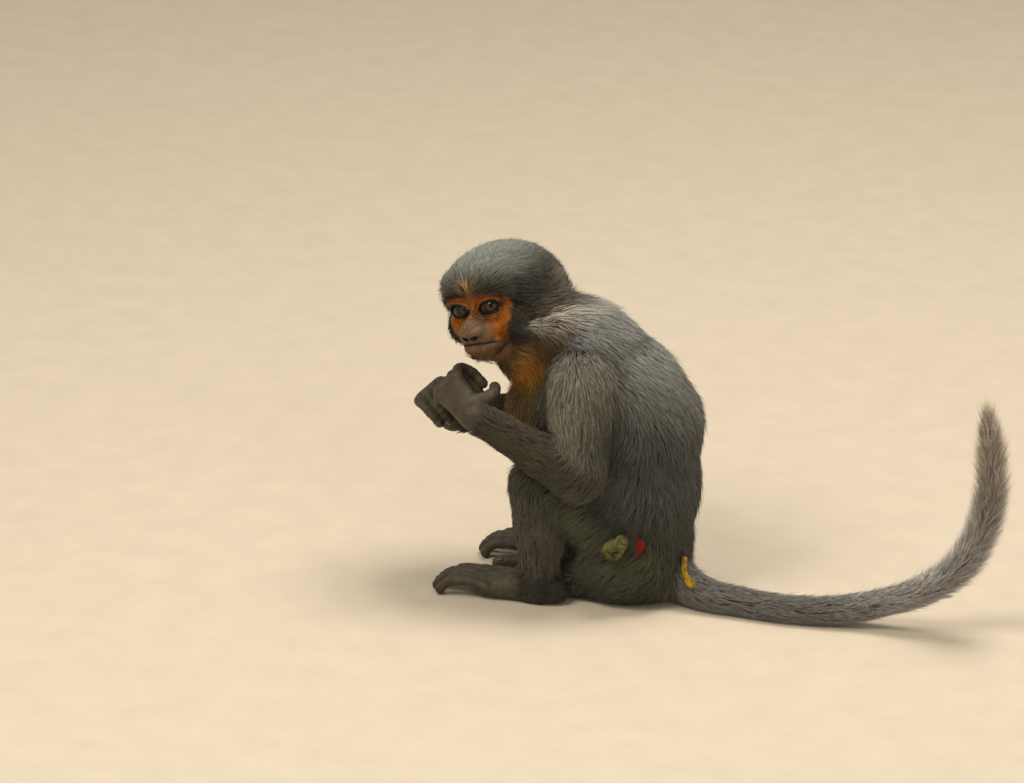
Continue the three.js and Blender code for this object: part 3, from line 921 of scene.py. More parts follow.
def lie(p, shares):
    """The way the hair lies at each point."""
    h = to_head(p)
    from_face = h - vec(46, 0, -8)
    from_face[:, 0] = np.minimum(from_face[:, 0], -12)
    z = p[:, 2:3]
    back = unit(lerp(DOWN_BACK, OVER_SHOULDERS, smooth(110, 205, z)))
    back = unit(lerp(OVER_LOINS, back, smooth(20, 90, z)))
    flank = smooth(25, 42, np.abs(p[:, 1:2])) * smooth(190, 150, z) * smooth(40, 90, z)
    back = unit(back + flank * vec(-0.45, 0, 0))
    chest = smooth(-45, -75, p[:, 0:1])
    # From the brow the hair is swept to the sides, and down over the temples.
    f, l, u = (h[:, i : i + 1] for i in range(3))
    outward = np.tanh(l / 8)
    brow = smooth(20, 8, u) * smooth(12, 30, f)
    temple = smooth(14, 26, np.abs(l)) * smooth(-5, 15, f) * smooth(14, 2, u)
    swept = unit(from_face * vec(1, 1, 0.8))
    swept = swept + brow * (1.1 * outward * vec(0, 1, 0) + vec(0, 0, 0.1))
    swept = swept + temple * vec(-0.2, 0, -0.9)
    swept = unit(swept)
    whiskery = whiskers(p)[:, None]
    swept = lerp(swept, np.hstack((-1 + 0 * l, 0.3 * outward, -0.22 + 0 * l)), whiskery)
    beside = beside_cheek(p)[:, None] * np.maximum(smooth(-40, -32, f) * smooth(-44, -36, u), whiskery)
    ways = {
        "head": unit(swept) @ HEAD,
        "neck": unit(lerp(DOWN_NAPE, unit(swept) @ HEAD, beside)),
        "trunk": unit(lerp(back, DOWN_CHEST, chest)),
        "tail": along_tail(p)[1],
    }
    for name, s in SIDES:
        ways["thigh_" + name] = unit(DOWN_THIGH + 0.35 * unit(KNEE[s] - HIP[s]))
        ways["shank_" + name] = unit(ANKLE[s] - KNEE[s] + vec(10, 0, 0))
        ways["foot_" + name] = unit(vec(-1, 0, -0.2))
        ways["upper_arm_" + name] = unit(ELBOW[s] - SHOULDER[s] + vec(14, 0, 0))
        ways["forearm_" + name] = unit(WRIST[s] - ELBOW[s])
        ways["hand_" + name] = ONWARD[s]
        ways["ear_" + name] = unit(HEAD_UP - HEAD_FORWARD)
    return unit(sum(shares[name][:, None] * way for name, way in ways.items()))


# Hair length, height of the coat over the skin, half width, and tufts for each square mm.
LENGTH, HEIGHT, WIDTH, DENSITY = range(4)
COAT = {
    "head": (15.5, 5.4, 0.20, 2.7),
    "neck": (20, 8.5, 0.27, 1.7),
    "trunk": (23, 8.0, 0.29, 1.35),
    "tail": (15, 6.2, 0.18, 3.4),
    "thigh": (17, 6.3, 0.28, 1.25),
    "shank": (13, 4.2, 0.25, 1.6),
    "foot": (7, 1.7, 0.20, 1.7),
    "upper_arm": (18, 6.5, 0.27, 1.5),
    "forearm": (11, 3.4, 0.24, 1.8),
    "hand": (7, 1.5, 0.20, 1.7),
    "ear": (5, 1.5, 0.17, 0.5),
}


def coat_measure(shares, which):
    kinds = {name: name.removesuffix("_left").removesuffix("_right") for name in GROUPS}
    return sum(share * COAT[kinds[name]][which] for name, share in shares.items())


FACE_HALF_WIDTH, FACE_RISE, FACE_SQUARENESS = 26.5, 15.5, 2.8


def bare_face(p):
    """1 on the bare skin of the face, 0 where the coat begins."""
    f, l, u = to_head(p).T
    rise = np.where(u > -10, (u + 10) / FACE_RISE, 0)
    edge = (np.abs(l) / FACE_HALF_WIDTH) ** FACE_SQUARENESS + np.abs(rise) ** FACE_SQUARENESS
    inside = 15 * (1 - np.maximum(edge, 1e-6) ** (1 / FACE_SQUARENESS))
    # The hair of the brow comes to a point between the eyes.
    inside = inside - 2.5 * np.exp(-((l / 4) ** 2)) * (u > -5)
    jaw = 27.0 - 0.42 * np.maximum(-u - 14, 0) - np.abs(l)
    inside = np.minimum(inside, jaw) + 0.5 * waves(p, 6, 8)
    return smooth(-1.0, 1.0, inside) * smooth(10, 16, f) * smooth(-44, -40, u)


def bare_limb(p, shares):
    """1 on the bare skin of hands and feet, 0 above the wrist and round the heel."""
    bare = np.zeros(len(p))
    for name, s in SIDES:
        past_ankle = smooth(4, 14, ANKLE[s][0] - p[:, 0]) + smooth(5, 3, p[:, 2])
        bare += shares["foot_" + name] * np.clip(past_ankle, 0, 1)
        bare += shares["hand_" + name] * smooth(2, 9, (p - WRIST[s]) @ ONWARD[s])
    return np.clip(bare + near_digits(p), 0, 1)


# ------------------------------------------------------------------ markings
# The coat's colours at its tips and at its roots; some of them stand for painted shade and painted light, as
# noted at each.
COLOURS = {
    "back": ((0.155, 0.16, 0.142), (0.048, 0.05, 0.045)),
    # Lighter over the shoulders: partly the coat's own colour, partly painted top light.
    "shoulders": ((0.54, 0.54, 0.50), (0.17, 0.165, 0.15)),
    # Darker low on the back: partly the coat's own colour, partly painted shade.
    "loins": ((0.105, 0.107, 0.073), (0.037, 0.037, 0.023)),
    "chest": ((0.265, 0.175, 0.05), (0.12, 0.075, 0.02)),
    "throat": ((0.70, 0.26, 0.006), (0.32, 0.11, 0.004)),
    # Light tips of the nape tuft: partly its own lighter hair, partly a painted highlight.
    "nape": ((0.78, 0.75, 0.68), (0.24, 0.225, 0.195)),
    "upper arm": ((0.38, 0.36, 0.28), (0.12, 0.115, 0.083)),
    "elbow": ((0.12, 0.11, 0.075), (0.042, 0.037, 0.023)),
    # Painted shade on the flank behind the arm.
    "flank": ((0.10, 0.097, 0.075), (0.036, 0.034, 0.025)),
    "forearm": ((0.080, 0.060, 0.028), (0.031, 0.022, 0.010)),
    "shank": ((0.16, 0.142, 0.105), (0.06, 0.05, 0.036)),
    "thigh": ((0.14, 0.138, 0.07), (0.048, 0.047, 0.022)),
    # Painted shade: the coat is darkened low down, towards the floor.
    "painted shade near the floor": ((0.042, 0.038, 0.016), (0.016, 0.014, 0.006)),
    # Painted shadow round the green knot.
    "painted shadow round the knot": ((0.022, 0.020, 0.008), (0.010, 0.009, 0.004)),
    "cheek": ((0.050, 0.040, 0.018), (0.016, 0.013, 0.005)),
    # Lighter on the crown: partly the coat's own colour, partly painted top light.
    "crown": ((0.43, 0.46, 0.40), (0.135, 0.134, 0.113)),
    "side of the neck": ((0.075, 0.062, 0.036), (0.024, 0.019, 0.010)),
    "by the ear": ((0.15, 0.085, 0.03), (0.055, 0.03, 0.011)),
    "back of the neck": ((0.15, 0.11, 0.06), (0.05, 0.036, 0.018)),
    # Painted shadow under the tuft of light whiskers.
    "painted shadow under the whiskers": ((0.12, 0.078, 0.028), (0.04, 0.025, 0.009)),
    "whiskers": ((0.74, 0.68, 0.58), (0.36, 0.31, 0.24)),
    "brow strip": ((0.52, 0.31, 0.12), (0.24, 0.12, 0.035)),
    "chin": ((0.30, 0.16, 0.05), (0.15, 0.07, 0.02)),
    "tail's root": ((0.31, 0.295, 0.265), (0.10, 0.092, 0.078)),
    "tail's middle": ((0.60, 0.56, 0.52), (0.165, 0.15, 0.13)),
    "tail's end": ((0.50, 0.41, 0.31), (0.022, 0.017, 0.010)),
}


def zones(p, shares):
    """Where each colour of the coat lies, in the order in which they are laid over each other."""
    x, z, width = p[:, 0:1], p[:, 2:3], np.abs(p[:, 1:2])
    f, l, u = (c[:, None] for c in to_head(p).T)
    head, neck, trunk, tail = (shares[k][:, None] for k in ("head", "neck", "trunk", "tail"))
    upper_arm, forearm, shank, thigh = (
        limbs(shares, kind)[:, None] for kind in ("upper_arm_", "forearm_", "shank_", "thigh_")
    )
    # Painted shade on the flank and the back of the upper arm, behind the arm.
    painted_shade_behind_arm = spot(np.abs(p), (20, 45, 140), (20, 34, 34)) * (x > -45) * smooth(20, 34, width)
    over, beside = above_whiskers(p)[:, None], beside_cheek(p)[:, None]
    by_ear = np.exp(-(((f + 16) / 12) ** 2) - ((u + 8) / 12) ** 2) * smooth(25, 40, np.abs(l))
    # Painted shadow: a dark band under the whiskers' tuft, on the cheek, the neck and the trunk.
    under = smooth(2, -5, over) * smooth(-30, -20, over) * beside
    under = under * smooth(-32, -16, f) * smooth(30, 18, f)
    strip = np.exp(-((l / 2.2) ** 2)) * smooth(14, 7, u) * smooth(20, 34, f)
    along = along_tail(p)[0][:, None]
    return {
        # Partly the coat's own colour, partly painted top light.
        "shoulders": 0.95 * smooth(130, 205, z) * smooth(-100, -20, x),
        # Partly the coat's own colour, partly painted shade.
        "loins": 0.9 * smooth(115, 50, z),
        "chest": 0.95 * smooth(-62, -85, x) * (trunk + neck),
        "throat": 1.1 * spot(p, (-99, -18, 186), (12, 17, 13)),
        # Partly the nape tuft's own lighter hair, partly a painted highlight on it.
        "nape": 0.95 * spot(p, NAPE_TUFT - vec(6, 0, 2), (20, 40, 11)) * neck,
        "upper arm": upper_arm,
        "elbow": 0.9 * smooth(150, 112, z) * upper_arm,
        # Painted shade behind the arm.
        "flank": 0.95 * painted_shade_behind_arm * (trunk + upper_arm),
        "forearm": forearm,
        "shank": 0.9 * shank,
        "thigh": 0.8 * thigh,
        # Painted shade, darkening the coat towards the floor.
        "painted shade near the floor": 0.7 * smooth(42, 12, z) * (1 - tail),
        # Painted shadow: the coat is darkened round the green knot.
        "painted shadow round the knot": 0.6 * spot(p, CLOTH_AT, (13, 16, 11)),
        "cheek": head,
        # Partly the coat's own colour, partly painted top light.
        "crown": 0.92 * smooth(4, 27, u) * head,
        "side of the neck": 0.9 * (beside * smooth(2, 8, over) * smooth(-40, -32, f)) * (neck + trunk),
        "by the ear": 0.85 * by_ear * (head + neck),
        "back of the neck": 0.8 * (smooth(-30, -44, f) * smooth(2, -12, u) * neck),
        "painted shadow under the whiskers": 0.85 * under * (head + neck + trunk),
        "whiskers": 1.1 * whiskers(p)[:, None] * (head + neck),
        "brow strip": 0.9 * (strip * head),
        "chin": smooth(-36, -42, u) * smooth(22, 30, f) * head,
        "tail's root": tail,
        "tail's middle": smooth(0.3, 0.55, along) * tail,
        "tail's end": smooth(0.6, 0.9, along) * tail,
    }


def markings_and_painted_light(p, shares):
    """Root and tip colour of the coat at each point, with painted shade and painted light in places."""
    tip, root = (np.repeat(vec(*colour)[None], len(p), 0) for colour in COLOURS["back"])
    for name, share in zones(p, shares).items():
        share = np.clip(share, 0, 1)
        tip, root = (lerp(old, vec(*new), share) for old, new in zip((tip, root), COLOURS[name]))
    # Painted shade: the colour is darkened in the folds where two parts of the body meet, but not next to
    # the head and the tail.
    fold = 1 - np.max(list(shares.values()), 0)[:, None]
    painted_fold_shade = 1 - 0.9 * fold * smooth(0.35, 0.0, (shares["head"] + shares["tail"])[:, None])
    return root * painted_fold_shade, tip * painted_fold_shade


DIGIT_SKIN, EAR_SKIN = vec(0.058, 0.047, 0.031), vec(0.09, 0.048, 0.02)
# The second colour, for the skin over the eyes, is partly its own darker colour and partly painted shade
# under the brow's hair.
ORANGE, BROW_TONE_AND_SHADE, NOSE_BRIDGE = vec(0.22, 0.060, 0.0), vec(0.12, 0.025, 0.0), vec(0.15, 0.045, 0.004)
UNDER_EYE = vec(0.30, 0.105, 0.0)
MAUVE, CHIN_SKIN, LIP = vec(0.125, 0.073, 0.038), vec(0.12, 0.062, 0.026), vec(0.05, 0.03, 0.022)
LID_RIM_AND_LID_SHADE, NOSTRIL_PAINTED_SHADE = vec(0.014, 0.012, 0.008), vec(0.015, 0.01, 0.009)


def skin_markings_and_painted_light(p):
    """The skin's colour at each point: bare parts in their own colours, the rest as the coat's roots."""
    shares = shares_of(p)
    f, l, u = (c[:, None] for c in to_head(p).T)
    colour = markings_and_painted_light(p, shares)[0]
    colour = lerp(colour, DIGIT_SKIN, bare_limb(p, shares)[:, None])
    colour = lerp(colour, EAR_SKIN, limbs(shares, "ear_")[:, None])
    width = np.abs(l)
    # Over the eyes the skin is darker: partly its own colour, partly painted shade under the brow's hair.
    tone = lerp(ORANGE, BROW_TONE_AND_SHADE, smooth(-1, 4, u))
    tone = lerp(tone, NOSE_BRIDGE, smooth(7, 2, width) * smooth(-14, -2, u))
    under_eye = smooth(-6, -9, u) * smooth(-16, -12, u) * smooth(5, 9, width) * smooth(21, 16, width)
    tone = lerp(tone, UNDER_EYE, 0.7 * under_eye)
    muzzle = smooth(17, 11, np.hypot(l, (u + 26) * 0.8)) * smooth(34, 42, f)
    tone = lerp(tone, MAUVE, muzzle)
    tone = lerp(tone, CHIN_SKIN, smooth(-28, -36, u))
    mouth = np.exp(-((over_mouth(l, u) / 1.6) ** 2))
    mouth = mouth * smooth(20, 28, f) * smooth(18, 14, width)
    tone = lerp(tone, LIP, mouth)
    for s in (LEFT, RIGHT):
        rim, ahead, across, _ = eye_opening(p, s)
        outer = smooth(3, 9, across)
        lid = smooth(2.3, 1.0, rim - 1.2 * outer) * (ahead > 0) * (np.linalg.norm(p - EYE[s], axis=1) < 14)
        tone = lerp(tone, LID_RIM_AND_LID_SHADE, lid[:, None])
        a, b = NOSTRIL[s]
        # Painted shade inside each nostril.
        hole = smooth(1.6, 0.2, bone_distance(p, a, b, 1.6, 1.0))[:, None]
        tone = lerp(tone, NOSTRIL_PAINTED_SHADE, hole)
    mottle = 1 + 0.14 * waves(p, 7, 41)[:, None] + 0.10 * waves(p, 3, 42)[:, None]
    return lerp(colour, tone, bare_face(p)[:, None]) * mottle


def put_colours(piece, name, colours):
    rgba = np.ones((len(colours), 4), np.float32)
    rgba[:, :3] = np.clip(colours, 0, 1)
    layer = piece.data.color_attributes.new(name, "FLOAT_COLOR", "POINT")
    layer.data.foreach_set("color", rgba.ravel())


# ------------------------------------------------------------------ tufts
MOST_TUFTS, MOST_IN_A_PIECE = 148000, 19500
LOCK_SIZE, ROOT_DEPTH, LOWEST_HAIR = 4.5, 0.4, 0.5
LONG_SHARE, LONG_GAIN = 0.07, 1.4


def unwrap(piece):
    bpy.context.view_layer.objects.active = piece
    piece.select_set(True)
    piece.data.uv_layers.new(name="OFBake")
    bpy.ops.object.mode_set(mode="EDIT")
    bpy.ops.mesh.select_all(action="SELECT")
    bpy.ops.uv.smart_project(angle_limit=1.15, island_margin=0.002)
    bpy.ops.object.mode_set(mode="OBJECT")
    piece.select_set(False)


def scatter(skin, rng):
    """Roots of the tufts over the skin, and their places on its unwrap."""
    mesh = skin.data
    mesh.calc_loop_triangles()
    corners = np.empty((len(mesh.loop_triangles), 3), np.int32)
    mesh.loop_triangles.foreach_get("vertices", corners.reshape(-1))
    loops = np.empty_like(corners)
    mesh.loop_triangles.foreach_get("loops", loops.reshape(-1))
    a, b, c = points_of(skin)[corners].transpose(1, 0, 2)
    area = np.linalg.norm(np.cross(b - a, c - a), axis=1) / 2
    middle = (a + b + c) / 3
    shares = shares_of(middle)
    density = coat_measure(shares, DENSITY) * (1 - bare_face(middle)) * (1 - bare_limb(middle, shares))
    wanted = np.cumsum(density * area)
    count = int(min(wanted[-1], MOST_TUFTS))
    pick = np.searchsorted(wanted, (np.arange(count) + rng.random(count)) / count * wanted[-1])
    pick = np.minimum(pick, len(corners) - 1)
    r, t = np.sqrt(rng.random(count)), rng.random(count)
    weights = np.stack((1 - r, r * (1 - t), r * t), 1)[:, :, None]
    root = (np.stack((a, b, c), 1)[pick] * weights).sum(1)
    uv = np.empty((len(mesh.loops), 2), np.float32)
    mesh.uv_layers["OFBake"].uv.foreach_get("vector", uv.reshape(-1))
    return root, (uv[loops[pick]] * weights).sum(1)


def tail_ends(root, shares):
    """How bushy the tail is at each root, and how near its tip."""
    along = along_tail(root)[0]
    return shares["tail"] * smooth(0.45, 0.75, along), shares["tail"] * smooth(0.78, 0.96, along)


def measures(root, shares, rng):
    """Each tuft's length, height over the skin and half width."""
    count = len(root)
    length, height, width = (coat_measure(shares, which) for which in (LENGTH, HEIGHT, WIDTH))
    length = length * rng.uniform(0.7, 1.15, count)
    height = height * rng.uniform(0.4, 1.06, count)
    height = np.where(rng.random(count) < LONG_SHARE, height * LONG_GAIN, height)
    nape = spot(root, NAPE_TUFT, (16, 30, 9))[:, 0]
    flaring = np.maximum(nape, whiskers(root) * (1 - shares["trunk"]))
    height, length = height * (1 + 0.8 * flaring), length * (1 + 0.5 * flaring)
    bushy, tip = tail_ends(root, shares)
    height = height * (1 + 1.2 * bushy) * (1 - 0.35 * tip)
    length, width = length * (1 + 0.55 * bushy), width * (1 - 0.35 * bushy)
    return length, height, width * rng.uniform(0.7, 1.1, count)


def wave_vectors(p, wavelength, seeds):
    return np.stack([waves(p, wavelength, seed) for seed in seeds], 1)


def lock_centres(root):
    """The middle of the lock that each tuft belongs to."""
    shifted = root + 2 * wave_vectors(root, 14, (5, 6, 7))
    _, lock = np.unique(np.floor(shifted / LOCK_SIZE), axis=0, return_inverse=True)
    lock = lock.ravel()
    size = np.bincount(lock)
    return np.stack([np.bincount(lock, root[:, i]) / size for i in range(3)], 1)[lock]


def grow(root, shares, rng):
    """The tufts' lines, of three points from root to tip, and their half widths."""
    length, height, width = measures(root, shares, rng)
    # The tail's hair lies flat at its root, and stands out more and more towards its tip.
    bushy, tip = tail_ends(root, shares)
    at_tip = smooth(0.8, 1.0, tip)[:, None]
    tail_middle = TAIL[np.round(along_tail(root)[0] * (len(TAIL) - 1)).astype(int)]
    centre = lock_centres(root)
    drift = 0.20 * wave_vectors(root, 30, (20, 21, 22)) * (1 - 0.6 * shares["tail"])[:, None]
    stray = rng.normal(0, 0.10, (len(root), 3)) * (1 - 0.4 * shares["tail"] + bushy)[:, None]
    normal = unit(uphill(looked_up, root))
    lines, at = [root - ROOT_DEPTH * normal], root
    for step, rise in ((0.48, 0.8 - 0.35 * bushy), (0.52, 1.0 + 0.45 * bushy)):
        # Neighbouring tufts lean together into locks.
        way = lie(at, shares) + drift + stray + 0.05 * (centre - root)
        way = unit(way - dot(way, normal) * normal)
        way = lerp(way, unit(lie(at, shares) + stray + 0.02 * (tail_middle - root)), at_tip)
        at = at + way * (length * step)[:, None]
        slope = uphill(looked_up, at)
        slope = slope / np.maximum(np.linalg.norm(slope, axis=1, keepdims=True), 0.3)
        # Over a sharp edge the hair runs on and bends down only a little.
        lift = np.clip(height * rise - looked_up(at), -0.4 * length * step, 6)[:, None]
        at = at + slope * lift * (1 - at_tip)
        at[:, 2] = np.maximum(at[:, 2], LOWEST_HAIR)
        normal = unit(slope)
        lines.append(at)
        shares = shares_of(at)
    # No tuft is bent sharply in its middle.
    start, middle, end = lines
    bend = (unit(middle - start) * unit(end - middle)).sum(1)
    middle = lerp(middle, (start + end) / 2, 0.7 * smooth(0.93, 0.6, bend)[:, None])
    return np.stack((start, middle, end), 1), width


CORNERS = 3
RING_SHARES = (0.85, 1.0)
PATCH = 0.003


def tuft_faces():
    """One tuft: a closed three-sided spike with two rings and a tip."""
    faces = [(2, 1, 0)]
    for j in range(CORNERS):
        n = (j + 1) % CORNERS
        faces += [(j, n, CORNERS + n), (j, CORNERS + n, CORNERS + j)]
        faces.append((CORNERS + j, CORNERS + n, 2 * CORNERS))
    return np.array(faces)


def tufts(name, lines, width, patch, root_colour, tip_colour, twist):
    """A piece of the coat."""
    count = len(lines)
    heading = unit(np.gradient(lines, axis=1))
    aside = unit(np.cross(heading, uphill(looked_up, lines[:, 0])[:, None, :]))
    above = np.cross(aside, heading)
    rows = []
    for k, share in enumerate(RING_SHARES):
        for j in range(CORNERS):
            angle = (twist + j * 2 * math.pi / CORNERS)[:, None]
            out = aside[:, k] * np.cos(angle) + above[:, k] * np.sin(angle)
            rows.append(lines[:, k] + out * (width * share)[:, None])
    points = np.stack((*rows, lines[:, -1]), 1)
    each = points.shape[1]
    faces = (tuft_faces()[None] + each * np.arange(count)[:, None, None]).reshape(-1, 3)
    piece = mesh_object(name, points.reshape(-1, 3), faces)
    tone = np.array((0.0, 0.0, 0.0, 0.5, 0.5, 0.5, 1.0))[None, :, None]
    put_colours(piece, "markings_and_painted_light", lerp(root_colour[:, None], tip_colour[:, None], tone).reshape(-1, 3))
    places = np.array([(x, y) for y in (-1, 0) for x in (-1, 1, 0)] + [(0, 1)])
    uv = (patch[:, None] + PATCH / 2 * places[None]).reshape(-1, 2)
    corner = np.empty(len(piece.data.loops), np.int32)
    piece.data.loops.foreach_get("vertex_index", corner)
    layer = piece.data.uv_layers.new(name="OFBake")
    layer.uv.foreach_set("vector", uv[corner].astype(np.float32).ravel())
    return piece


# The coat's regions, and how the names of the groups start that each covers.
REGIONS = {
    "head": ("head", "ear_"),
    "trunk": ("trunk", "neck"),
    "arms": ("upper_arm_", "forearm_", "hand_"),
    "legs": ("thigh_", "shank_", "foot_"),
    "tail": ("tail",),
}


def make_coat(skin):
    rng = np.random.default_rng(11)
    root, patch = scatter(skin, rng)
    shares = shares_of(root)
    lines, width = grow(root, shares, rng)
    dark, light = markings_and_painted_light(root, shares)
    tone = 1 + 0.12 * waves(root, 10, 3) + 0.09 * waves(root, 3.5, 4) + rng.normal(0, 0.12, len(root))
    tone = lerp(1, tone.clip(0.55, 1.6), 1 - 0.5 * shares["tail"])[:, None]
    twist = rng.uniform(0, 2 * math.pi, len(root))
    main = np.stack([shares[name] for name in GROUPS]).argmax(0)
    pieces = []
    for region, starts in REGIONS.items():
        mine = np.flatnonzero(np.isin(main, [i for i, name in enumerate(GROUPS) if name.startswith(starts)]))
        for i, some in enumerate(np.array_split(mine, math.ceil(len(mine) / MOST_IN_A_PIECE))):
            name = f"coat_{region}_{i + 1}"
            looks = dark[some] * tone[some], light[some] * tone[some], twist[some]
            pieces.append(tufts(name, lines[some], width[some], patch[some], *looks))
    return pieces


# ------------------------------------------------------------------ rings, tubes and joined shapes
# A shape is its points and its triangles.
def ring_shape(rings, ends=None):
    """The skin over rings of points, closed by two end points, or into a loop where ends is None."""
    count, around, _ = rings.shape
    last = count if ends is None else count - 1
    i, j = (grid.ravel() for grid in np.meshgrid(np.arange(last), np.arange(around), indexing="ij"))
    a, b = i * around + j, i * around + (j + 1) % around
    d, c = (index + around - around * count * (i + 1 == count) for index in (a, b))
    faces = [np.stack((a, b, c), 1), np.stack((a, c, d), 1)]
    points = rings.reshape(-1, 3)
    if ends is not None:
        j = np.arange(around)
        n, foot, top = (j + 1) % around, len(points), (count - 1) * around
        faces.append(np.stack((n, j, np.full(around, foot)), 1))
        faces.append(np.stack((top + j, top + n, np.full(around, foot + 1)), 1))
        points = np.vstack((points, ends))
    return points, np.vstack(faces)


def frames_along(line, closed=False):
    """Heading and two directions across it at each point of a line, turning as little as they can."""
    if closed:
        heading = unit(np.roll(line, -1, 0) - np.roll(line, 1, 0))
    else:
        heading = unit(np.gradient(line, axis=0))
    across = [unit(np.cross(heading[0], vec(0.3, 0.2, 0.93)))]
    for way in heading[1:]:
        across.append(unit(across[-1] - way * (across[-1] @ way)))
    across = np.array(across)
    return heading, across, np.cross(heading, across)


def tube_shape(line, radius, around, closed=False):
    """A tube along a line; radius is a function of the share along it and the angle round it."""
    heading, across, above = frames_along(line, closed)
    angle = np.linspace(0, 2 * math.pi, around, endpoint=False)[None, :]
    t = np.linspace(0, 1, len(line))[:, None]
    out = across[:, None] * np.cos(angle)[:, :, None] + above[:, None] * np.sin(angle)[:, :, None]
    rings = line[:, None] + out * np.broadcast_to(radius(t, angle), (len(line), around))[:, :, None]
    if closed:
        return ring_shape(rings)
    tips = radius(t, angle).mean(1)[[0, -1]] * (-0.3, 0.3)
    return ring_shape(rings, line[[0, -1]] + heading[[0, -1]] * tips[:, None])


def joined(name, shapes):
    """One piece out of several shapes, with its faces turned outwards."""
    points, faces, first = [], [], 0
    for p, f in shapes:
        points.append(p)
        faces.append(f + first)
        first += len(p)
    piece = mesh_object(name, np.vstack(points), np.vstack(faces))
    bm = bmesh.new()
    bm.from_mesh(piece.data)
    bmesh.ops.recalc_face_normals(bm, faces=bm.faces)
    bm.to_mesh(piece.data)
    bm.free()
    return piece


def threads(starts, ways, lengths, radius, rng):
    """Loose thin threads."""
    shapes = []
    for start, way, length in zip(starts, ways, lengths):
        bend = rng.normal(0, 0.25, 3)
        line = np.array([start + way * length * t + bend * length * t * t for t in np.linspace(0, 1, 5)])
        shapes.append(tube_shape(line, lambda t, angle: radius * (1 - 0.6 * t) + 0 * angle, 4))
    return shapes


# ------------------------------------------------------------------ eyes
PUPIL, IRIS = math.radians(12.5), math.radians(33)
BALL_RADIUS, CORNEA_RISE = 9.1, 0.8
FINE_RINGS, COARSE_RINGS, EYE_SIDES = 30, 14, 56
GAZE = unit(TO_CAMERA + vec(0, 0, 0.04))
PUPIL_COLOUR = vec(0.002, 0.002, 0.002)
IRIS_COLOURS = vec(0.21, 0.10, 0.018), vec(0.09, 0.052, 0.014)
WHITE_COLOURS = vec(0.022, 0.019, 0.011), vec(0.05, 0.042, 0.028)


def make_eye(name, s):
    """An eyeball with a raised cornea; its colours run from the pupil over the iris to the white."""
    aside = unit(np.cross(vec(0, 0, 1), GAZE))
    above = np.cross(GAZE, aside)
    rings = np.concatenate((np.linspace(0.03, 0.75, FINE_RINGS), np.linspace(0.85, 3.05, COARSE_RINGS)))
    around = np.linspace(0, 2 * math.pi, EYE_SIDES, endpoint=False)
    theta, phi = np.meshgrid(rings, around, indexing="ij")
    out = np.cos(theta), np.sin(theta) * np.cos(phi), np.sin(theta) * np.sin(phi)
    out = sum(share[:, :, None] * way for share, way in zip(out, (GAZE, aside, above)))
    rise = CORNEA_RISE * smooth(1.15 * IRIS, 0.2 * IRIS, theta)
    points = EYE[s] + out * (BALL_RADIUS + rise)[:, :, None]
    ends = EYE[s] + np.array((GAZE * (BALL_RADIUS + CORNEA_RISE), -GAZE * BALL_RADIUS))
    eye = joined(name, [ring_shape(points, ends)])
    angle, turn = np.append(theta.ravel(), (0, math.pi)), np.append(phi.ravel(), (0, 0))
    rays = 0.5 + 0.25 * np.sin(17 * turn + 2) + 0.25 * np.sin(29 * turn)
    iris = lerp(*IRIS_COLOURS, smooth(PUPIL, IRIS, angle)[:, None])
    iris = 0.34 * iris * (0.7 + 0.6 * rays[:, None])
    colour = lerp(*WHITE_COLOURS, smooth(0.8, 1.3, angle)[:, None])
    colour = lerp(iris, colour, smooth(0.97 * IRIS, 1.06 * IRIS, angle)[:, None])
    edge = np.exp(-(((angle - IRIS) / 0.06) ** 2))[:, None]
    colour = colour * (1 - 0.85 * edge)
    colour = lerp(PUPIL_COLOUR, colour, smooth(0.92 * PUPIL, 1.08 * PUPIL, angle)[:, None])
    # The white is dark along the lids, as it is in their shade.
    colour = lerp(colour, LID_RIM_AND_LID_SHADE, smooth(-2.6, -1.2, eye_opening(points_of(eye), s)[0])[:, None])
    put_colours(eye, "markings_and_painted_light", colour)
    return eye


# ------------------------------------------------------------------ nails
def nail_shape(end, along, out, radius, length):
    """A curved plate over a digit's end."""
    out = unit(out - along * (out @ along))
    aside = np.cross(along, out)
    spread = np.linspace(-0.95, 0.95, 9)
    rings = []
    for t in np.linspace(0, 1, 8):
        narrow = 0.72 + 0.28 * math.sin(math.pi * min(0.25 + 0.75 * t, 0.85))
        sink = 0.5 * radius * max(t - 0.55, 0) ** 2 + 0.25 * max(0.2 - t, 0)
        place = end + along * length * (t - 0.78)
        rim = []
        for angles, depth in ((spread, 0.30), (spread[::-1], -0.25)):
            reach = radius + depth - sink
            for a in angles * narrow:
                rim.append(place + reach * (out * math.cos(a) + aside * math.sin(a)))
        rings.append(rim)
    rings = np.array(rings)
    return ring_shape(rings, np.array((rings[0].mean(0), rings[-1].mean(0))))


# The radius and the length of each kind of nail.
FINGER_NAIL, THUMB_NAIL, TOE_NAIL, BIG_TOE_NAIL = (3.65, 5.2), (4.25, 5.6), (3.95, 5.2), (4.95, 6.0)


def make_nails(name, s):
    """All the nails of one side."""
    shapes = []

    def nail(line, before, out, measures):
        shapes.append(nail_shape(line[-1], unit(line[-1] - line[before]), out, *measures))

    for place in range(4):
        line = finger_line(s, place)
        nail(line, -3, line[-1] - GRIP[s], FINGER_NAIL)
    line = thumb_line(s)
    nail(line, -2, line[-1] - GRIP[s], THUMB_NAIL)
    for row in range(4):
        nail(toe_line(s, row), -3, vec(-1, 0, 0.5), TOE_NAIL)
    nail(big_toe_line(s), -2, vec(0, 0, 1), BIG_TOE_NAIL)
    return joined(name, shapes)


# ------------------------------------------------------------------ what it wears
RED_AT = vec(7.5, -47.5, 55)
HEM_THREADS, SIDE_THREADS, END_THREADS = 26, 18, 16
YELLOW_POINTS = ((31, -11, 36), (32.5, -16, 32), (35, -21.5, 27.5), (39.5, -26, 23.5), (44.5, -29, 21))


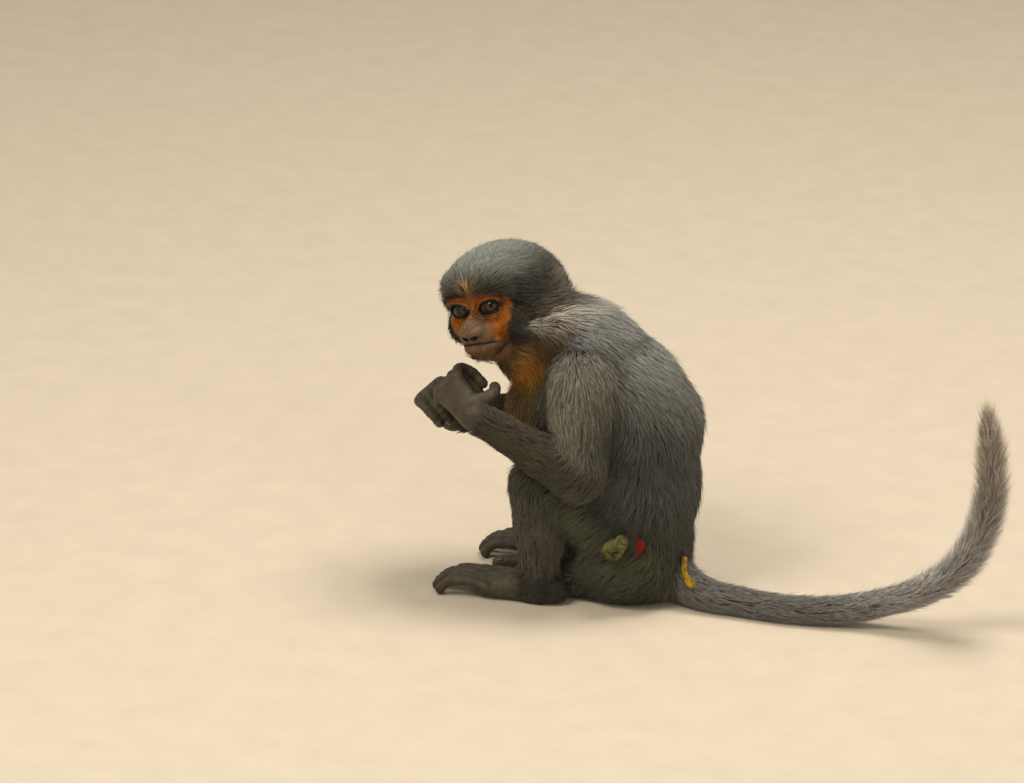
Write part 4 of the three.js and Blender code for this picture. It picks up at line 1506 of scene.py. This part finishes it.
def make_green_knot():
    """A strip of cloth wound into a bulb, tied across, and narrowing to where it goes to the waist."""
    side = unit(np.cross(vec(0, 0, 1), CLOTH_OUT))
    above = np.cross(CLOTH_OUT, side)
    long = 0.62 * side + 0.78 * above
    wide = np.cross(long, CLOTH_OUT)
    u = np.linspace(-9, 12, 90)[:, None]
    line = CLOTH_AT + u * long - 0.05 * np.maximum(u - 3, 0) ** 2 * CLOTH_OUT

    def wraps(t, angle):
        bulb = 8.0 * np.sin(math.pi * t**0.75).clip(0, 1) ** 0.6 + 2.3 * smooth(0.7, 1, t)
        winding = 4.6 * t + 0.45 * np.sin(angle) + 0.14 * np.sin(3 * angle + 1)
        fold = np.abs(np.sin(math.pi * winding)) ** 0.6
        return bulb * (0.80 + 0.22 * fold) + 0.12 * np.sin(13 * angle + 9 * t)

    def pleats(t, angle):
        return 1.9 + 0.30 * np.abs(np.sin(2 * angle + 5 * t)) + 0.25 * np.sin(4 * math.pi * t)

    turn = np.linspace(0, 2 * math.pi, 90, endpoint=False)[:, None]
    tilted = unit(0.75 * long + 0.55 * wide)
    band = CLOTH_AT + 1.5 * long + 7.3 * np.cos(turn) * tilted + 7.6 * np.sin(turn) * CLOTH_OUT
    v = np.linspace(0, 1, 14)[:, None]
    end = CLOTH_AT - 5.5 * wide - 2 * long + 2.5 * CLOTH_OUT
    end = end + v * (-7 * above - 2 * wide) + v * v * CLOTH_OUT

    def flare(t, angle):
        return (2.0 + 1.2 * t * t) * (1 + 0.13 * np.sin(5 * angle + 2 * t)) * (1 - 0.4 * np.sin(angle) ** 2)

    around = tube_shape(band, pleats, 24, closed=True)
    return joined("green_knot", [tube_shape(line, wraps, 60), around, tube_shape(end, flare, 30)])


def make_red_scrap():
    """A scrap of thin cloth rolled on itself and pinched at its top, with a frayed edge."""
    wide, tall, thick, rolled = 12.6, 12.0, 0.5, 4.4
    a = np.linspace(-0.5, 0.5, 25)[None, :]
    b = np.linspace(0, 1, 31)[:, None]
    roll = a * rolled + 0.5 * np.sin(5 * b)
    radius = (wide / rolled) * (0.62 + 0.5 * np.sin(math.pi * np.clip(b * 0.9 + 0.05, 0, 1)))
    radius = radius + 0.45 * np.sin(3.2 * roll + 7 * b) + 0.25 * np.sin(9 * b + 4 * a)
    rims = []
    for inward in (0, thick):
        r = radius - inward
        x = r * np.sin(roll)
        y = -r * np.cos(roll) * 0.85
        z = (0.5 - b) * tall + 0.5 * np.sin(2 * roll) + 0 * a
        rims.append(RED_AT + np.stack((x, y, z), -1))
    rings = np.concatenate((rims[0], rims[1][:, ::-1]), 1)
    scrap = joined("red_cloth", [ring_shape(rings, np.array((rings[0].mean(0), rings[-1].mean(0))))])
    rng = np.random.default_rng(6)
    hem = rims[0][-1][rng.integers(0, 25, HEM_THREADS)]
    side = rims[0][:, -1][rng.integers(4, 31, SIDE_THREADS)]
    starts = np.vstack((hem, side))
    down, aside = vec(0.1, -0.3, -1), vec(0.9, -0.4, -0.2)
    ways = unit(np.repeat((down, aside), (HEM_THREADS, SIDE_THREADS), 0))
    ways = unit(ways + rng.normal(0, 0.3, ways.shape))
    top = rims[0][0].mean(0)
    loose = threads(starts, ways, rng.uniform(1.5, 4.0, len(starts)), 0.14, rng)
    upward = unit(vec(-0.7, -0.2, 0.6) + rng.normal(0, 0.1, (3, 3)))
    loose += threads([top] * 3, upward, (9, 7.5, 6), 0.28, rng)
    return scrap, joined("red_fray", loose)


def make_yellow_end():
    """The end of a soft twisted cord, swollen and frayed where it was cut."""
    line = catmull(YELLOW_POINTS, 60)

    def strands(t, angle):
        size = 2.15 + 1.15 * smooth(0.5, 0.85, t) - 1.7 * smooth(0.93, 1.0, t) ** 2
        twist = 0.10 * np.abs(np.cos(1.5 * (angle - 9 * t))) + 0.02 * np.sin(7 * angle + 30 * t)
        return size * (0.95 + twist)

    rng = np.random.default_rng(7)
    ways = unit(unit(line[-1] - line[-4]) + rng.normal(0, 0.45, (END_THREADS, 3)))
    starts = line[-2] + rng.normal(0, 0.7, (END_THREADS, 3))
    frayed = threads(starts, ways, rng.uniform(1, 2.4, END_THREADS), 0.2, rng)
    return joined("yellow_cord", [tube_shape(line, strands, 30), *frayed])


# ------------------------------------------------------------------ the model
make_camera()
make_stage()
bpy.context.scene.view_settings.view_transform = "Standard"


def dressed(piece, look, slot, *nodes):
    """Gives a piece its material and body, and hides the nodes it stands for; the slot is not used."""
    piece.data.materials.clear()
    piece.data.materials.append(look)
    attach(piece, "root")
    if nodes:
        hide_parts(*nodes)


OWN_NODES = ("eye_", "cloth_knot", "red_scrap", "yellow_end")
FLESH = [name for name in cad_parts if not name.startswith(OWN_NODES)]

skin = make_skin()
unwrap(skin)
put_colours(skin, "markings_and_painted_light", skin_markings_and_painted_light(points_of(skin)))
dressed(skin, material("skin", 0.5, skin_look), "bare_skin", *FLESH)
fur = material("fur", 0.6, fur_look)
for piece in make_coat(skin):
    dressed(piece, fur, "coat")
eye_shine = material("eye", 0.12, eye_look)
nails = material("nail", 0.35, nail_look)
for name, s in SIDES:
    dressed(make_eye("eyeball_" + name, s), eye_shine, "eye", "eye_" + name)
    dressed(make_nails("nails_" + name, s), nails, "bare_skin")

# The darkest and the lightest colour of each cloth, and how fine its weave is.
green_look = cloth_look((0.022, 0.023, 0.007), (0.14, 0.135, 0.035), 700.0)
red_look = cloth_look((0.075, 0.002, 0.001), (0.22, 0.006, 0.002), 800.0)
yellow_look = cloth_look((0.16, 0.08, 0.001), (0.48, 0.31, 0.008), 900.0)
green, red = material("green_cloth", 0.85, green_look), material("red_cloth", 0.85, red_look)
yellow = material("yellow_cord", 0.7, yellow_look)
dressed(make_green_knot(), green, "green_cloth", "cloth_knot")
scrap, fray = make_red_scrap()
dressed(scrap, red, "red_cloth", "red_scrap")
dressed(fray, red, "red_cloth")
dressed(make_yellow_end(), yellow, "yellow_cord", "yellow_end")
